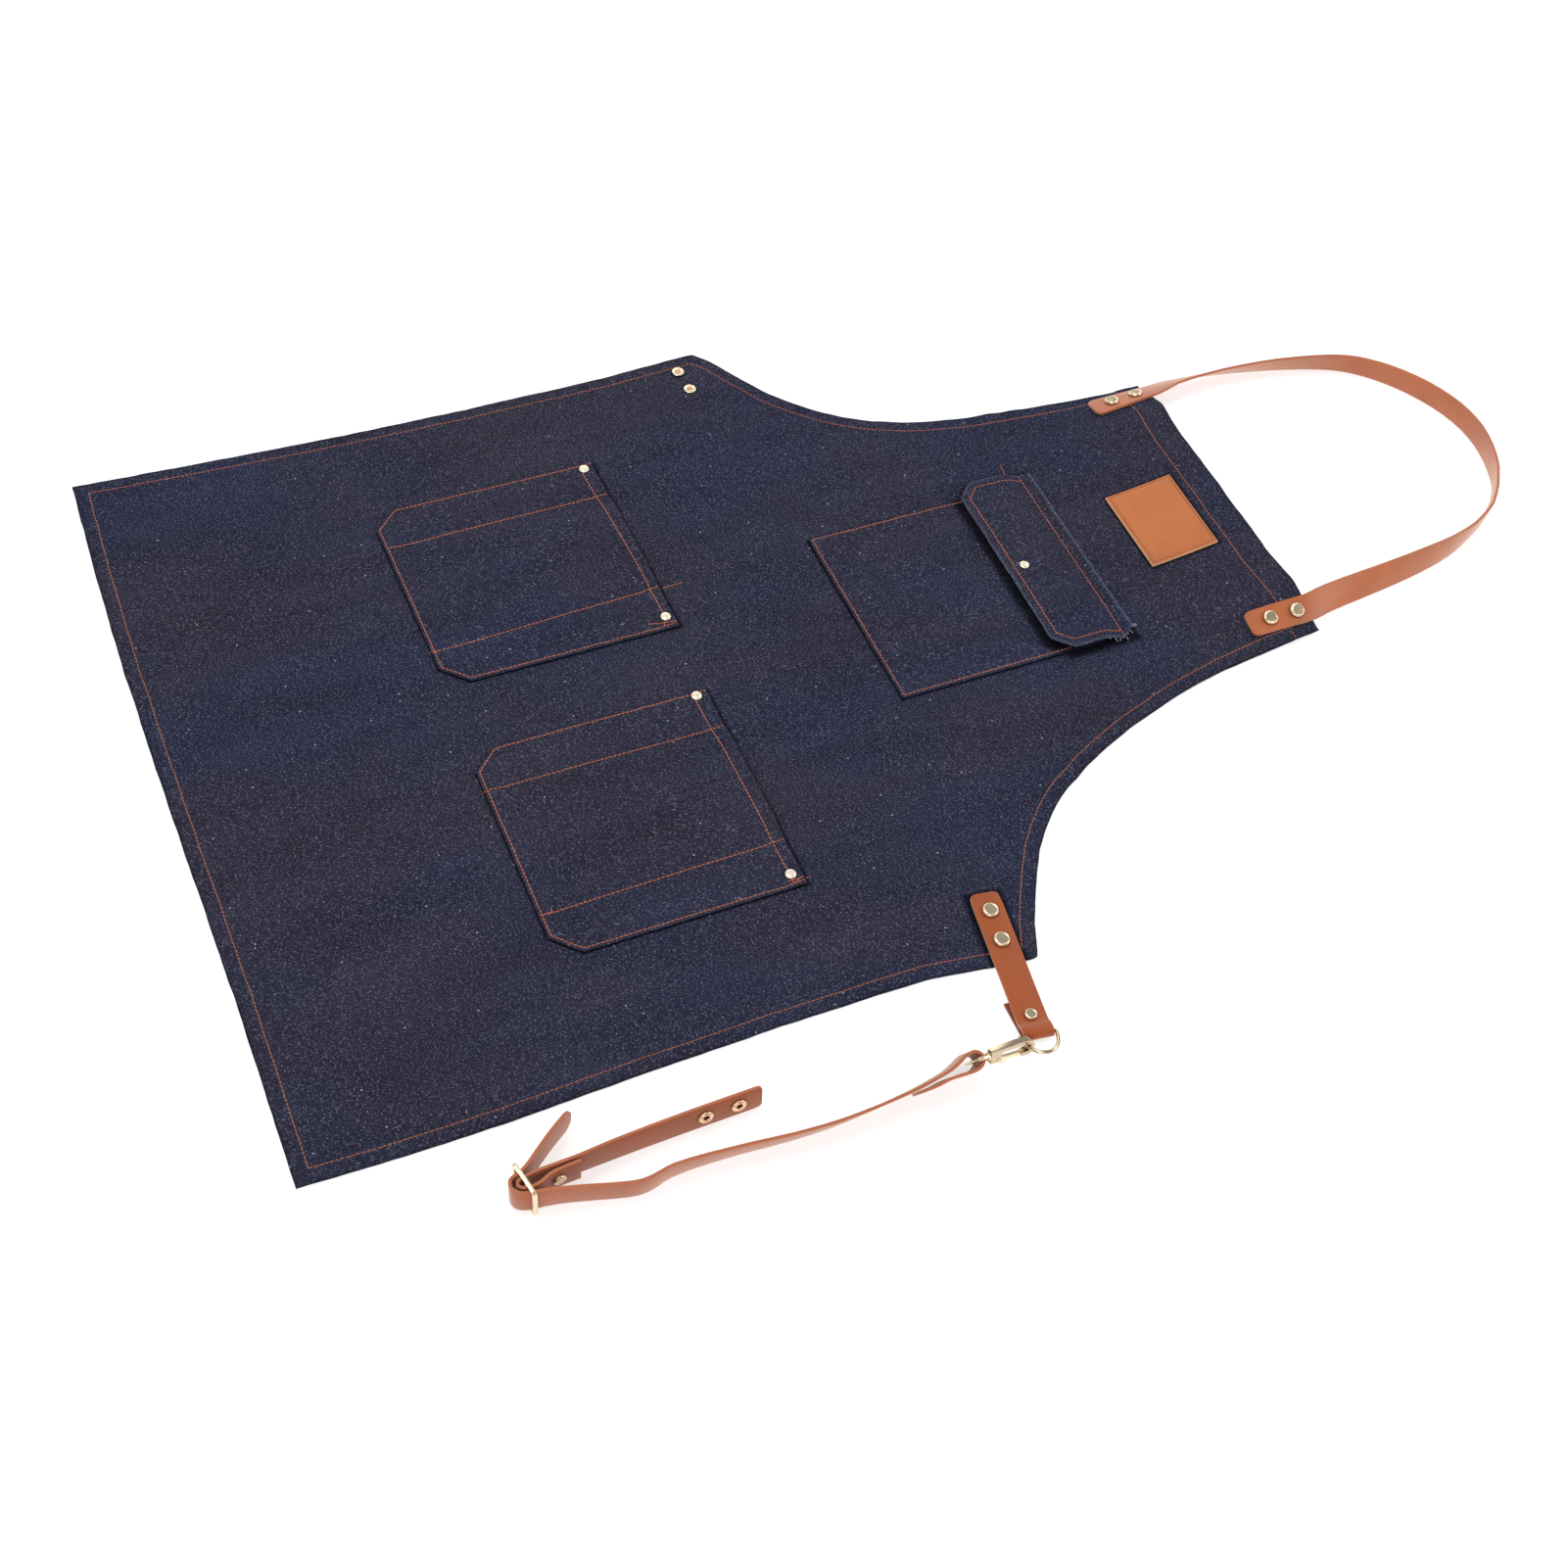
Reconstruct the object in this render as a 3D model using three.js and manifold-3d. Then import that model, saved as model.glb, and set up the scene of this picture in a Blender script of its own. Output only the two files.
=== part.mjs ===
// Denim work apron laid on a table: a hemmed panel with an arched bib top, patch pockets, a flap, a leather
// patch, a neck strap, a side tab with a ring, and a waist strap with a snap hook and a buckle.
// Units are millimetres. x runs across the apron, y from the hem to the bib, z up from the table.
import * as THREE from "three";
import { mergeVertices } from "three/addons/utils/BufferGeometryUtils.js";
import Module from "manifold-3d";

const wasm = await Module();
wasm.setup();

// Panel: length from hem to bib, cloth and hem thickness, hem widths
const LENGTH = 790;
const GAP = 0.3;
const CLOTH = 1.3;
const HEM = { thick: 2.2, side: 12, bottom: 11, top: 25, step: 0.6 };

// The bib's top arches up between the strap ends: rise at its edge, where it starts, level share of its width
const ARCH = { lift: 18, from: 640, level: 0.72 };

// Edges of the laid panel, far and near side, at heights along the skirt and up the armholes
const SKIRT = [
  { along: 0, far: -301.5, near: 299 },
  { along: 110, far: -295, near: 301 },
  { along: 220, far: -291, near: 297.5 },
  { along: 400, far: -290, near: 296.5 },
  { along: 443, far: -293, near: 303 },
  { along: 474, far: -294, near: 306 },
];
const ARMHOLE = [
  { along: 474, far: -294, near: 306 },
  { along: 483, far: -284, near: 284 },
  { along: 499, far: -256.5, near: 254.5 },
  { along: 517, far: -229, near: 226 },
  { along: 536, far: -208, near: 206 },
  { along: 555, far: -192.5, near: 191 },
  { along: 582, far: -177, near: 176 },
  { along: 610, far: -167, near: 163 },
  { along: 647, far: -159.5, near: 150.5 },
  { along: 685, far: -155, near: 139.5 },
  { along: 735, far: -150.5, near: 131.5 },
  { along: LENGTH, far: -146.5, near: 125.5 },
];
const WAIST = ARMHOLE[0].along;

// The hem sags out of line along its length, and the arched bib edge draws in between its corners
const HEM_SAG = [
  { x: -302, sag: -2.2 },
  { x: -200, sag: -5.4 },
  { x: -100, sag: -5.8 },
  { x: 0, sag: -4.4 },
  { x: 100, sag: -2.2 },
  { x: 200, sag: -0.6 },
  { x: 300, sag: 0 },
];
const SAG_REACH = 180;
const BIB_DRAW = { middle: -2.4, corner: 3 };

// Lower pockets: two pen slots and a wide middle, sewn round three sides, with cut-off lower corners
// Each leans a little: its near side lies further along than its far side
const POCKET = { width: 174, height: 168.6, chamfer: 17, slot: 36, puff: 5, slotPuff: 0.8 };
const POCKETS = [
  { name: "pocket_left", middle: -117, bottom: 191, skew: 3.4 },
  { name: "pocket_right", middle: 117, bottom: 189.2, skew: 1.8 },
];

// Chest pocket under its flap
const CHEST = { width: 161, height: 158, bottom: 481.2, middle: 2.6, puff: 4.6, skew: 1.8 };
const FLAP = {
  width: 173, height: 65, bottom: 601, middle: -0.5, thick: 2.3, chamfer: 13, root: 10, ramp: 14,
};

// Leather patch
const PATCH = { width: 74, height: 53, middle: -5, along: 733.5, thick: 1.6 };

// Straps: widths, thickness and the corner radius of their rounded ends
const NECK = { width: 20, thick: 2, corner: 4.5, near: 108.7, far: -131.5, end: 743 };
const BELT = { width: 20, thick: 1.9, corner: 7 };
const BUCKLE_BELT = { ...BELT, corner: 3.5 };

// Loop of the neck strap: its lower edge on the table, and its roll, 0 lying flat, 90 standing on that edge
const NECK_LOOP = [
  { x: 112.2, along: 812, height: 3, roll: 42 },
  { x: 104.4, along: 858, height: 0.4, roll: 61 },
  { x: 98.2, along: 897, height: 0.4, roll: 73 },
  { x: 90.6, along: 927, height: 0.4, roll: 86 },
  { x: 81, along: 950, height: 0.4, roll: 96 },
  { x: 67.6, along: 974, height: 0.4, roll: 97 },
  { x: 46, along: 998.6, height: 0.4, roll: 84 },
  { x: 24, along: 1009.5, height: 0.4, roll: 87 },
  { x: -5, along: 1016, height: 0.4, roll: 90 },
  { x: -32, along: 1014.6, height: 0.4, roll: 89 },
  { x: -61, along: 1004.6, height: 0.4, roll: 87 },
  { x: -88, along: 987.6, height: 0.4, roll: 83 },
  { x: -108, along: 967.6, height: 0.4, roll: 78 },
  { x: -119, along: 948, height: 0.4, roll: 73 },
  { x: -132.5, along: 904, height: 0.4, roll: 64 },
  { x: -141, along: 858, height: 1, roll: 52 },
  { x: -143.2, along: 815, height: 3.4, roll: 38 },
];

// Waist strap, lower edge and lean to the near side: glued leaf, hook's loop, through the buckle, free tip
const BELT_PATH = [
  { x: 367.3, along: 357, height: 1.2, lean: 25.7 },
  { x: 366.6, along: 368, height: 1, lean: 25.7 },
  { x: 365.2, along: 377, height: 0.9, lean: 25.7 },
  { x: 365, along: 385, height: 0.8, lean: 25.7 },
  { x: 365.4, along: 392, height: 0.8, lean: 25.7 },
  { x: 364.6, along: 397, height: 1.2, lean: 25.7 },
  { x: 361.9, along: 400.3, height: 2.5, lean: 25.7 },
  { x: 358.9, along: 400.3, height: 3.9, lean: 25.7 },
  { x: 357, along: 397.6, height: 4.9, lean: 25.7 },
  { x: 357.2, along: 393, height: 5.2, lean: 25.7 },
  { x: 359.7, along: 387.4, height: 4.3, lean: 25.7 },
  { x: 362.3, along: 380, height: 3, lean: 25.7 },
  { x: 364.2, along: 369.5, height: 1.9, lean: 25.7 },
  { x: 366.2, along: 356.8, height: 1.4, lean: 25.7 },
  { x: 367.9, along: 341.4, height: 1, lean: 25 },
  { x: 369.4, along: 326, height: 0.7, lean: 23.5 },
  { x: 370.8, along: 303, height: 0.4, lean: 21 },
  { x: 370.2, along: 276, height: 0.4, lean: 18.5 },
  { x: 367.4, along: 238, height: 0.4, lean: 15 },
  { x: 367.6, along: 203, height: 0.4, lean: 9 },
  { x: 371, along: 190, height: 0.4, lean: 6 },
  { x: 371.6, along: 181, height: 0.4, lean: 5.5 },
  { x: 369.2, along: 169, height: 0.6, lean: 5 },
  { x: 365.8, along: 155.4, height: 1.4, lean: 4.5 },
  { x: 362.2, along: 139, height: 2.6, lean: 3.5 },
  { x: 360.4, along: 128, height: 3.1, lean: 2 },
  { x: 359.7, along: 120.5, height: 3.1, lean: 0 },
  { x: 358.1, along: 115.2, height: 3.1, lean: 0 },
  { x: 354.6, along: 111.2, height: 3.1, lean: 0 },
  { x: 349.8, along: 110.2, height: 3.1, lean: 0 },
  { x: 346.2, along: 112.2, height: 3.1, lean: 0 },
  { x: 344.3, along: 117, height: 3.1, lean: 0 },
  { x: 341.6, along: 122.4, height: 3.1, lean: 0 },
  { x: 333.4, along: 132.4, height: 2.4, lean: 0 },
  { x: 323.6, along: 144.6, height: 1.6, lean: 0 },
  { x: 313.8, along: 158.6, height: 1, lean: 0 },
];

// Short buckle strap, the same way: rounded end, fold round the buckle's centre bar, and back along its leaf
const BUCKLE_STRAP_PATH = [
  { x: 342.4, along: 270, height: 0.4, lean: -5 },
  { x: 342.8, along: 252, height: 0.4, lean: -5 },
  { x: 343.3, along: 226, height: 0.4, lean: -5 },
  { x: 344, along: 200, height: 0.4, lean: -4.3 },
  { x: 345.1, along: 175, height: 0.8, lean: -3 },
  { x: 346.8, along: 152, height: 2.2, lean: 0 },
  { x: 347.7, along: 137, height: 3.1, lean: 0 },
  { x: 348, along: 128, height: 3.1, lean: 0 },
  { x: 349.1, along: 121, height: 3.1, lean: 0 },
  { x: 349.6, along: 117.8, height: 3.1, lean: 0 },
  { x: 351.6, along: 116.2, height: 3.1, lean: 0 },
  { x: 353.6, along: 117.8, height: 3.1, lean: 0 },
  { x: 354.4, along: 121.5, height: 3.1, lean: 0 },
  { x: 353.9, along: 127, height: 3.1, lean: 0 },
  { x: 351.9, along: 131.6, height: 3.1, lean: 0 },
  { x: 350.3, along: 135.6, height: 3, lean: 0 },
  { x: 349.1, along: 143.6, height: 2.7, lean: 0 },
  { x: 348.5, along: 153.4, height: 2.4, lean: 0 },
];

// Buckle frame round those straps, standing across them, and its prong
const BUCKLE = {
  middle: 351.2, along: 119.6, turn: 12, length: 24.4, height: 26.4,
  bar: 2.6, depth: 2.4, corner: 3, foot: 0.2,
};
const PRONG = { ringInner: 2.05, ringOuter: 3.3, shank: 1.7, height: 2.2, play: 0.7 };

// Side tab: rounded end, heading, and its profile folded round the ring's bar, out along the tab and up
const TAB = { x: 250.7, along: 461.7, heading: -7.9, width: 20, thick: 2, corner: 4.5 };
const TAB_PROFILE = [
  { out: 0, up: 2.5 },
  { out: 28, up: 2.5 },
  { out: 58, up: 2.5 },
  { out: 91, up: 2.6 },
  { out: 98, up: 2.7 },
  { out: 101, up: 3.7 },
  { out: 104.4, up: 5.5 },
  { out: 107.1, up: 5.75 },
  { out: 108.4, up: 5.2 },
  { out: 108.9, up: 4 },
  { out: 108.4, up: 2.8 },
  { out: 107.1, up: 2.3 },
  { out: 100, up: 2.3 },
  { out: 91, up: 2.3 },
  { out: 81, up: 2.3 },
];

// Ring in the tab's fold: bar place on the tab, half length of the bar, depth of its bow, wire, upward tilt
const RING = { out: 107.1, up: 4, half: 12, depth: 18.4, wire: 1.4, tilt: 18, hookedAt: -62 };

// Snap hook: swivel point, then sizes along and across its own axis
const SWIVEL = { x: 365.2, along: 407.5, up: 12.2, lean: 25.7 };
const HOOK = {
  thick: 5, base: 1, baseTop: 9, half: 4.5, spine: 2.4,
  bowOuter: 5.4, bowInner: 2.8, play: 0.8, noseDrop: 3.2,
  boreRadius: 1.9, boreDepth: 2.9, slot: 2.9, slotFrom: 4.4, pivotX: 2.4, pivotY: 6.6, pinHole: 1,
};
const GATE = { thick: 2.3, inner: 2.9, outer: 5.1, foot: 1.8, pin: 0.7, nub: 2.6, nubFrom: 9.8, nubTo: 13.8 };
const EYE = {
  half: 11.8, length: 11, arm: 4.6, neck: 5, wire: 1.1, stem: 1.5, collar: 2.6, collarHeight: 1.6,
};

// Metal caps: radius and height
const CAP_LARGE = { radius: 5.4, height: 2 };
const CAP_SMALL = { radius: 4, height: 1.7 };
const CAP_POCKET = { radius: 3.8, height: 1.5 };
const CAP_SNAP = { radius: 3.6, height: 1.5 };
const SOCKET = { radius: 4.8, height: 1.6, hole: 1.9 };
const STUD = { radius: 4.6, height: 3.2, hole: 1.5, post: 2.5, plate: 0.9 };
const CAP_SIDES = 14;

// Places of the caps: distance out along the tab, heights on the neck strap, corners of the pockets
const TAB_CAPS = [
  { name: "tab_rivet_inner", out: 14.4, cap: CAP_LARGE },
  { name: "tab_rivet_outer", out: 37.3, cap: CAP_LARGE },
  { name: "tab_fold_rivet", out: 94.2, cap: CAP_SMALL },
];
const NECK_CAPS = [
  { name: "neck_rivet_near_upper", along: 781, fromEnd: false },
  { name: "neck_rivet_near_lower", along: 760, fromEnd: false },
  { name: "neck_rivet_far_upper", along: 781, fromEnd: true },
  { name: "neck_rivet_far_lower", along: 760, fromEnd: true },
];
const POCKET_CAPS = [
  { name: "pocket_left_rivet_far", x: -198, along: 350.6 },
  { name: "pocket_left_rivet_near", x: -40.4, along: 355 },
  { name: "pocket_right_rivet_far", x: 34.6, along: 348.8 },
  { name: "pocket_right_rivet_near", x: 194.4, along: 351 },
];
const WAIST_STUDS = [
  { name: "waist_stud_outer", x: -277.7, along: 456, onHem: true },
  { name: "waist_stud_inner", x: -257.4, along: 458, onHem: false },
];
const FLAP_SNAP = { name: "flap_snap", x: 3.6, along: 615 };
const STRAP_SOCKETS = [
  { name: "strap_socket_outer", along: 254.7 },
  { name: "strap_socket_inner", along: 233.6 },
];
const FOLD_RIVET_ALONG = 139.4;

// Finishes
const denim = new THREE.MeshStandardMaterial({ color: 0x2b2f45, roughness: 0.95, metalness: 0 });
const leather = new THREE.MeshStandardMaterial({ color: 0xa85f3c, roughness: 0.5, metalness: 0 });
const patchLeather = new THREE.MeshStandardMaterial({ color: 0xc87845, roughness: 0.55, metalness: 0 });
const gold = new THREE.MeshStandardMaterial({ color: 0xd8c08c, roughness: 0.25, metalness: 1 });

const apron = new THREE.Group();
apron.position.set(0, -LENGTH / 2, 0);

function addPiece(name, geometry, material, parent = apron) {
  const mesh = new THREE.Mesh(geometry, material);
  mesh.name = name;
  parent.add(mesh);
  return mesh;
}

const UP = new THREE.Vector3(0, 0, 1);
const radians = THREE.MathUtils.degToRad;

// A smooth curve through one column of a table, read by height along the apron
function through(rows, column, key = "along") {
  const slopes = rows.map((row, i) => {
    const before = rows[Math.max(i - 1, 0)];
    const after = rows[Math.min(i + 1, rows.length - 1)];
    return (after[column] - before[column]) / (after[key] - before[key]);
  });
  return (at) => {
    const found = rows.findIndex((row, i) => i > 0 && at <= row[key]);
    const end = found < 0 ? rows.length - 1 : found;
    const [a, b] = [rows[end - 1], rows[end]];
    const span = b[key] - a[key];
    const t = (at - a[key]) / span;
    const fromA = a[column] * (1 + 2 * t) + slopes[end - 1] * span * t;
    const fromB = b[column] * (3 - 2 * t) - slopes[end] * span * (1 - t);
    return (1 - t) * (1 - t) * fromA + t * t * fromB;
  };
}

// A closed sheet between an upper and a lower grid of points, i across and j along
function slab(across, along, upper, lower) {
  const positions = [];
  const index = [];
  for (const face of [upper, lower]) {
    for (let j = 0; j <= along; j++) {
      for (let i = 0; i <= across; i++) {
        positions.push(...face(i, j));
      }
    }
  }
  const at = (i, j, face) => (face * (along + 1) + j) * (across + 1) + i;
  const quad = (a, b, c, d) => index.push(a, b, c, a, c, d);
  for (let j = 0; j < along; j++) {
    for (let i = 0; i < across; i++) {
      quad(at(i, j, 0), at(i + 1, j, 0), at(i + 1, j + 1, 0), at(i, j + 1, 0));
      quad(at(i, j, 1), at(i, j + 1, 1), at(i + 1, j + 1, 1), at(i + 1, j, 1));
    }
    quad(at(0, j, 1), at(0, j, 0), at(0, j + 1, 0), at(0, j + 1, 1));
    quad(at(across, j, 0), at(across, j, 1), at(across, j + 1, 1), at(across, j + 1, 0));
  }
  for (let i = 0; i < across; i++) {
    quad(at(i, 0, 0), at(i, 0, 1), at(i + 1, 0, 1), at(i + 1, 0, 0));
    quad(at(i, along, 1), at(i, along, 0), at(i + 1, along, 0), at(i + 1, along, 1));
  }
  const geometry = new THREE.BufferGeometry();
  geometry.setAttribute("position", new THREE.Float32BufferAttribute(positions, 3));
  geometry.setIndex(index);
  return geometry;
}

// A closed tube of round wire along a closed loop of points
function wireLoop(points, radius, sides) {
  const curve = new THREE.CatmullRomCurve3(points, true);
  const steps = points.length;
  const frames = curve.computeFrenetFrames(steps, true);
  const positions = [];
  const index = [];
  for (let j = 0; j < steps; j++) {
    const centre = curve.getPointAt(j / steps);
    for (let i = 0; i < sides; i++) {
      const angle = (2 * Math.PI * i) / sides;
      const out = frames.normals[j].clone().multiplyScalar(Math.cos(angle) * radius);
      out.addScaledVector(frames.binormals[j], Math.sin(angle) * radius);
      positions.push(...out.add(centre));
    }
  }
  for (let j = 0; j < steps; j++) {
    for (let i = 0; i < sides; i++) {
      const [a, b] = [j * sides + i, j * sides + ((i + 1) % sides)];
      const next = ((j + 1) % steps) * sides;
      const [c, d] = [next + ((i + 1) % sides), next + i];
      index.push(a, b, c, a, c, d);
    }
  }
  const geometry = new THREE.BufferGeometry();
  geometry.setAttribute("position", new THREE.Float32BufferAttribute(positions, 3));
  geometry.setIndex(index);
  return geometry;
}

// Solids for joining and cutting
function solidOf(geometry) {
  const bare = new THREE.BufferGeometry();
  bare.setAttribute("position", geometry.getAttribute("position"));
  bare.setIndex(geometry.getIndex());
  const merged = mergeVertices(bare, 1e-3);
  const vertProperties = new Float32Array(merged.getAttribute("position").array);
  const triVerts = new Uint32Array(merged.getIndex().array);
  return new wasm.Manifold(new wasm.Mesh({ numProp: 3, vertProperties, triVerts }));
}

function geometryOf(solid) {
  const mesh = solid.getMesh();
  const geometry = new THREE.BufferGeometry();
  geometry.setAttribute("position", new THREE.BufferAttribute(mesh.vertProperties, 3));
  geometry.setIndex(new THREE.BufferAttribute(mesh.triVerts, 1));
  return geometry;
}

function block(low, high) {
  const size = high.map((value, axis) => value - low[axis]);
  const middle = high.map((value, axis) => (value + low[axis]) / 2);
  return new THREE.BoxGeometry(...size).translate(...middle);
}

// Panel: edges, the height of its underside, and its thickness
const skirtEdge = { far: through(SKIRT, "far"), near: through(SKIRT, "near") };
const armholeEdge = { far: through(ARMHOLE, "far"), near: through(ARMHOLE, "near") };

function edge(side, along) {
  return along <= WAIST ? skirtEdge[side](along) : armholeEdge[side](along);
}

// The hem keeps its width square to the edge, so it is wider across where the armhole slants
function hemAcross(along) {
  const reach = HEM.side / 2;
  if (along <= WAIST - 2 * HEM.side) {
    return HEM.side;
  }
  const from = Math.max(along, WAIST);
  const to = Math.min(from + reach, LENGTH);
  const slant = (edge("near", to) - edge("near", from)) / Math.max(to - from, reach / 2);
  return HEM.side * Math.min(Math.hypot(1, slant), 2.2);
}

function underside(x, along) {
  const [far, near] = [edge("far", along), edge("near", along)];
  const share = Math.abs(2 * x - far - near) / (near - far);
  const rise = (Math.max(along - ARCH.from, 0) / (LENGTH - ARCH.from)) ** 2;
  return ARCH.lift * rise * THREE.MathUtils.clamp((1 - share) / (1 - ARCH.level), 0, 1);
}

// How far a row of the panel is drawn out of line at x
const hemSag = through(HEM_SAG, "sag", "x");

function drawn(x, along) {
  const [far, near] = [edge("far", along), edge("near", along)];
  const share = Math.abs(2 * x - far - near) / (near - far);
  const up = Math.max(along - ARCH.from, 0) / (LENGTH - ARCH.from);
  const down = Math.max(1 - along / SAG_REACH, 0);
  const towardsCorner = THREE.MathUtils.smoothstep(share, 0.5, 1);
  const bib = THREE.MathUtils.lerp(BIB_DRAW.middle, BIB_DRAW.corner, towardsCorner);
  return bib * up * up + hemSag(x) * down;
}

const clothTop = (x, along) => underside(x, along) + CLOTH + GAP;
const hemTop = (x, along) => underside(x, along) + HEM.thick + GAP;

function panelRows() {
  const spans = [
    { from: 0, to: HEM.bottom - HEM.step, steps: 1 },
    { from: HEM.bottom, to: 400, steps: 7 },
    { from: 400, to: WAIST, steps: 3 },
    { from: WAIST, to: 555, steps: 8 },
    { from: 555, to: ARCH.from, steps: 4 },
    { from: ARCH.from, to: LENGTH - HEM.top, steps: 8 },
    { from: LENGTH - HEM.top + HEM.step, to: LENGTH, steps: 3 },
  ];
  const rows = [];
  for (const span of spans) {
    for (let step = 0; step <= span.steps; step++) {
      const row = span.from + ((span.to - span.from) * step) / span.steps;
      if (row !== rows[rows.length - 1]) {
        rows.push(row);
      }
    }
  }
  return rows;
}

// Places across a row from one edge to the other: hem, its step, and an even spread between
function panelColumns(along) {
  const [far, near] = [edge("far", along), edge("near", along)];
  const middle = (far + near) / 2;
  const half = (near - far) / 2;
  const hem = hemAcross(along);
  const level = ARCH.level * half;
  const inner = half - hem - HEM.step;
  const side = [half, half - hem, inner, (inner + level) / 2];
  const even = [6, 5, 4, 3, 2, 1].map((sixth) => (level * sixth) / 6);
  const right = [...side, ...even].reverse();
  const offsets = [...right.map((value) => -value).reverse(), 0, ...right];
  return offsets.map((offset) => middle + offset);
}

function makePanel() {
  const rows = panelRows();
  const columns = rows.map(panelColumns);
  const across = columns[0].length - 1;
  const inHem = (i, j) =>
    i <= 1 || i >= across - 1 || rows[j] < HEM.bottom || rows[j] > LENGTH - HEM.top;
  const place = (i, j, thick) => {
    const x = columns[j][i];
    const along = rows[j] + drawn(x, rows[j]);
    return [x, along, underside(x, along) + thick];
  };
  const upper = (i, j) => place(i, j, inHem(i, j) ? HEM.thick : CLOTH);
  const lower = (i, j) => place(i, j, 0);
  addPiece("apron_panel", slab(across, rows.length - 1, upper, lower), denim);
}

// A patch pocket lies on the panel along three sides and stands open at its mouth
const MOUTH_RISE = [
  { share: 0, rise: 0 },
  { share: 0.1, rise: 0.12 },
  { share: 0.25, rise: 0.5 },
  { share: 0.42, rise: 0.9 },
  { share: 0.55, rise: 1 },
  { share: 0.78, rise: 1 },
  { share: 1, rise: 1 },
];

function makePocket(name, size, columns, chamfer) {
  const rows = MOUTH_RISE.map((row) => ({ along: size.bottom + row.share * size.height, rise: row.rise }));
  const half = size.width / 2;
  const place = (i, j, thick) => {
    const { along, rise } = rows[j];
    const cut = Math.max(chamfer - (along - size.bottom), 0);
    const offset = columns[i].offset * (1 - cut / half);
    const x = size.middle + offset;
    const leant = along + (size.skew * offset) / size.width;
    return [x, leant, clothTop(x, leant) + columns[i].puff * rise + thick];
  };
  const upper = (i, j) => place(i, j, CLOTH);
  const lower = (i, j) => place(i, j, 0);
  addPiece(name, slab(columns.length - 1, rows.length - 1, upper, lower), denim);
}

function mirrored(half) {
  const left = half.map(({ offset, puff }) => ({ offset: -offset, puff })).reverse();
  return [...left, { offset: 0, puff: half[0].puff }, ...half];
}

function makePockets() {
  const half = POCKET.width / 2;
  const divider = half - POCKET.slot;
  const columns = mirrored([
    { offset: divider - 17, puff: POCKET.puff },
    { offset: divider - 9, puff: POCKET.puff * 0.62 },
    { offset: divider, puff: 0 },
    { offset: divider + POCKET.slot / 3, puff: POCKET.slotPuff },
    { offset: divider + POCKET.slot / 2, puff: POCKET.slotPuff * 0.6 },
    { offset: half, puff: 0 },
  ]);
  for (const pocket of POCKETS) {
    makePocket(pocket.name, { ...POCKET, ...pocket }, columns, POCKET.chamfer);
  }
}

function makeChestPocket() {
  const half = CHEST.width / 2;
  const columns = mirrored([
    { offset: half * 0.35, puff: CHEST.puff },
    { offset: half * 0.7, puff: CHEST.puff },
    { offset: half * 0.84, puff: CHEST.puff * 0.6 },
    { offset: half * 0.94, puff: CHEST.puff * 0.1 },
    { offset: half, puff: 0 },
  ]);
  makePocket("chest_pocket", CHEST, columns, 0);
}

// Height of the flap's underside over the panel: sewn down at its root, then standing over the pocket's mouth
function flapStand(along) {
  const down = FLAP.bottom + FLAP.height - FLAP.root - along;
  const share = THREE.MathUtils.clamp(down / FLAP.ramp, 0, 1);
  return (CHEST.puff + CLOTH + 2 * GAP) * share * share * (3 - 2 * share);
}

function makeFlap() {
  const top = FLAP.bottom + FLAP.height;
  const ramp = [0, 0.25, 0.5, 0.75, 1].map((share) => top - FLAP.root - FLAP.ramp * share);
  const rows = [FLAP.bottom, FLAP.bottom + FLAP.chamfer, ...ramp.reverse(), top];
  const across = 8;
  const place = (i, j, thick) => {
    const along = rows[j];
    const cut = Math.max(FLAP.chamfer - (along - FLAP.bottom), 0);
    const x = FLAP.middle + (FLAP.width / 2 - cut) * ((2 * i) / across - 1);
    return [x, along, clothTop(x, along) + flapStand(along) + thick];
  };
  const upper = (i, j) => place(i, j, FLAP.thick);
  const lower = (i, j) => place(i, j, 0);
  addPiece("pocket_flap", slab(across, rows.length - 1, upper, lower), denim);
}

function makePatch() {
  const [across, along] = [4, 6];
  const place = (i, j, thick) => {
    const x = PATCH.middle + PATCH.width * (i / across - 0.5);
    const y = PATCH.along + PATCH.height * (j / along - 0.5);
    return [x, y, clothTop(x, y) + thick];
  };
  const upper = (i, j) => place(i, j, PATCH.thick);
  const lower = (i, j) => place(i, j, 0);
  addPiece("leather_patch", slab(across, along, upper, lower), patchLeather);
}

// The way across a strap: rolled about its own run, or leaning towards the near side
function rolled(tangent, row) {
  const left = new THREE.Vector3(-tangent.y, tangent.x, 0).normalize();
  return left.multiplyScalar(Math.cos(radians(row.roll))).addScaledVector(UP, Math.sin(radians(row.roll)));
}

function leaning(tangent, row) {
  return new THREE.Vector3(Math.sin(radians(row.lean)), 0, Math.cos(radians(row.lean)));
}

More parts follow.
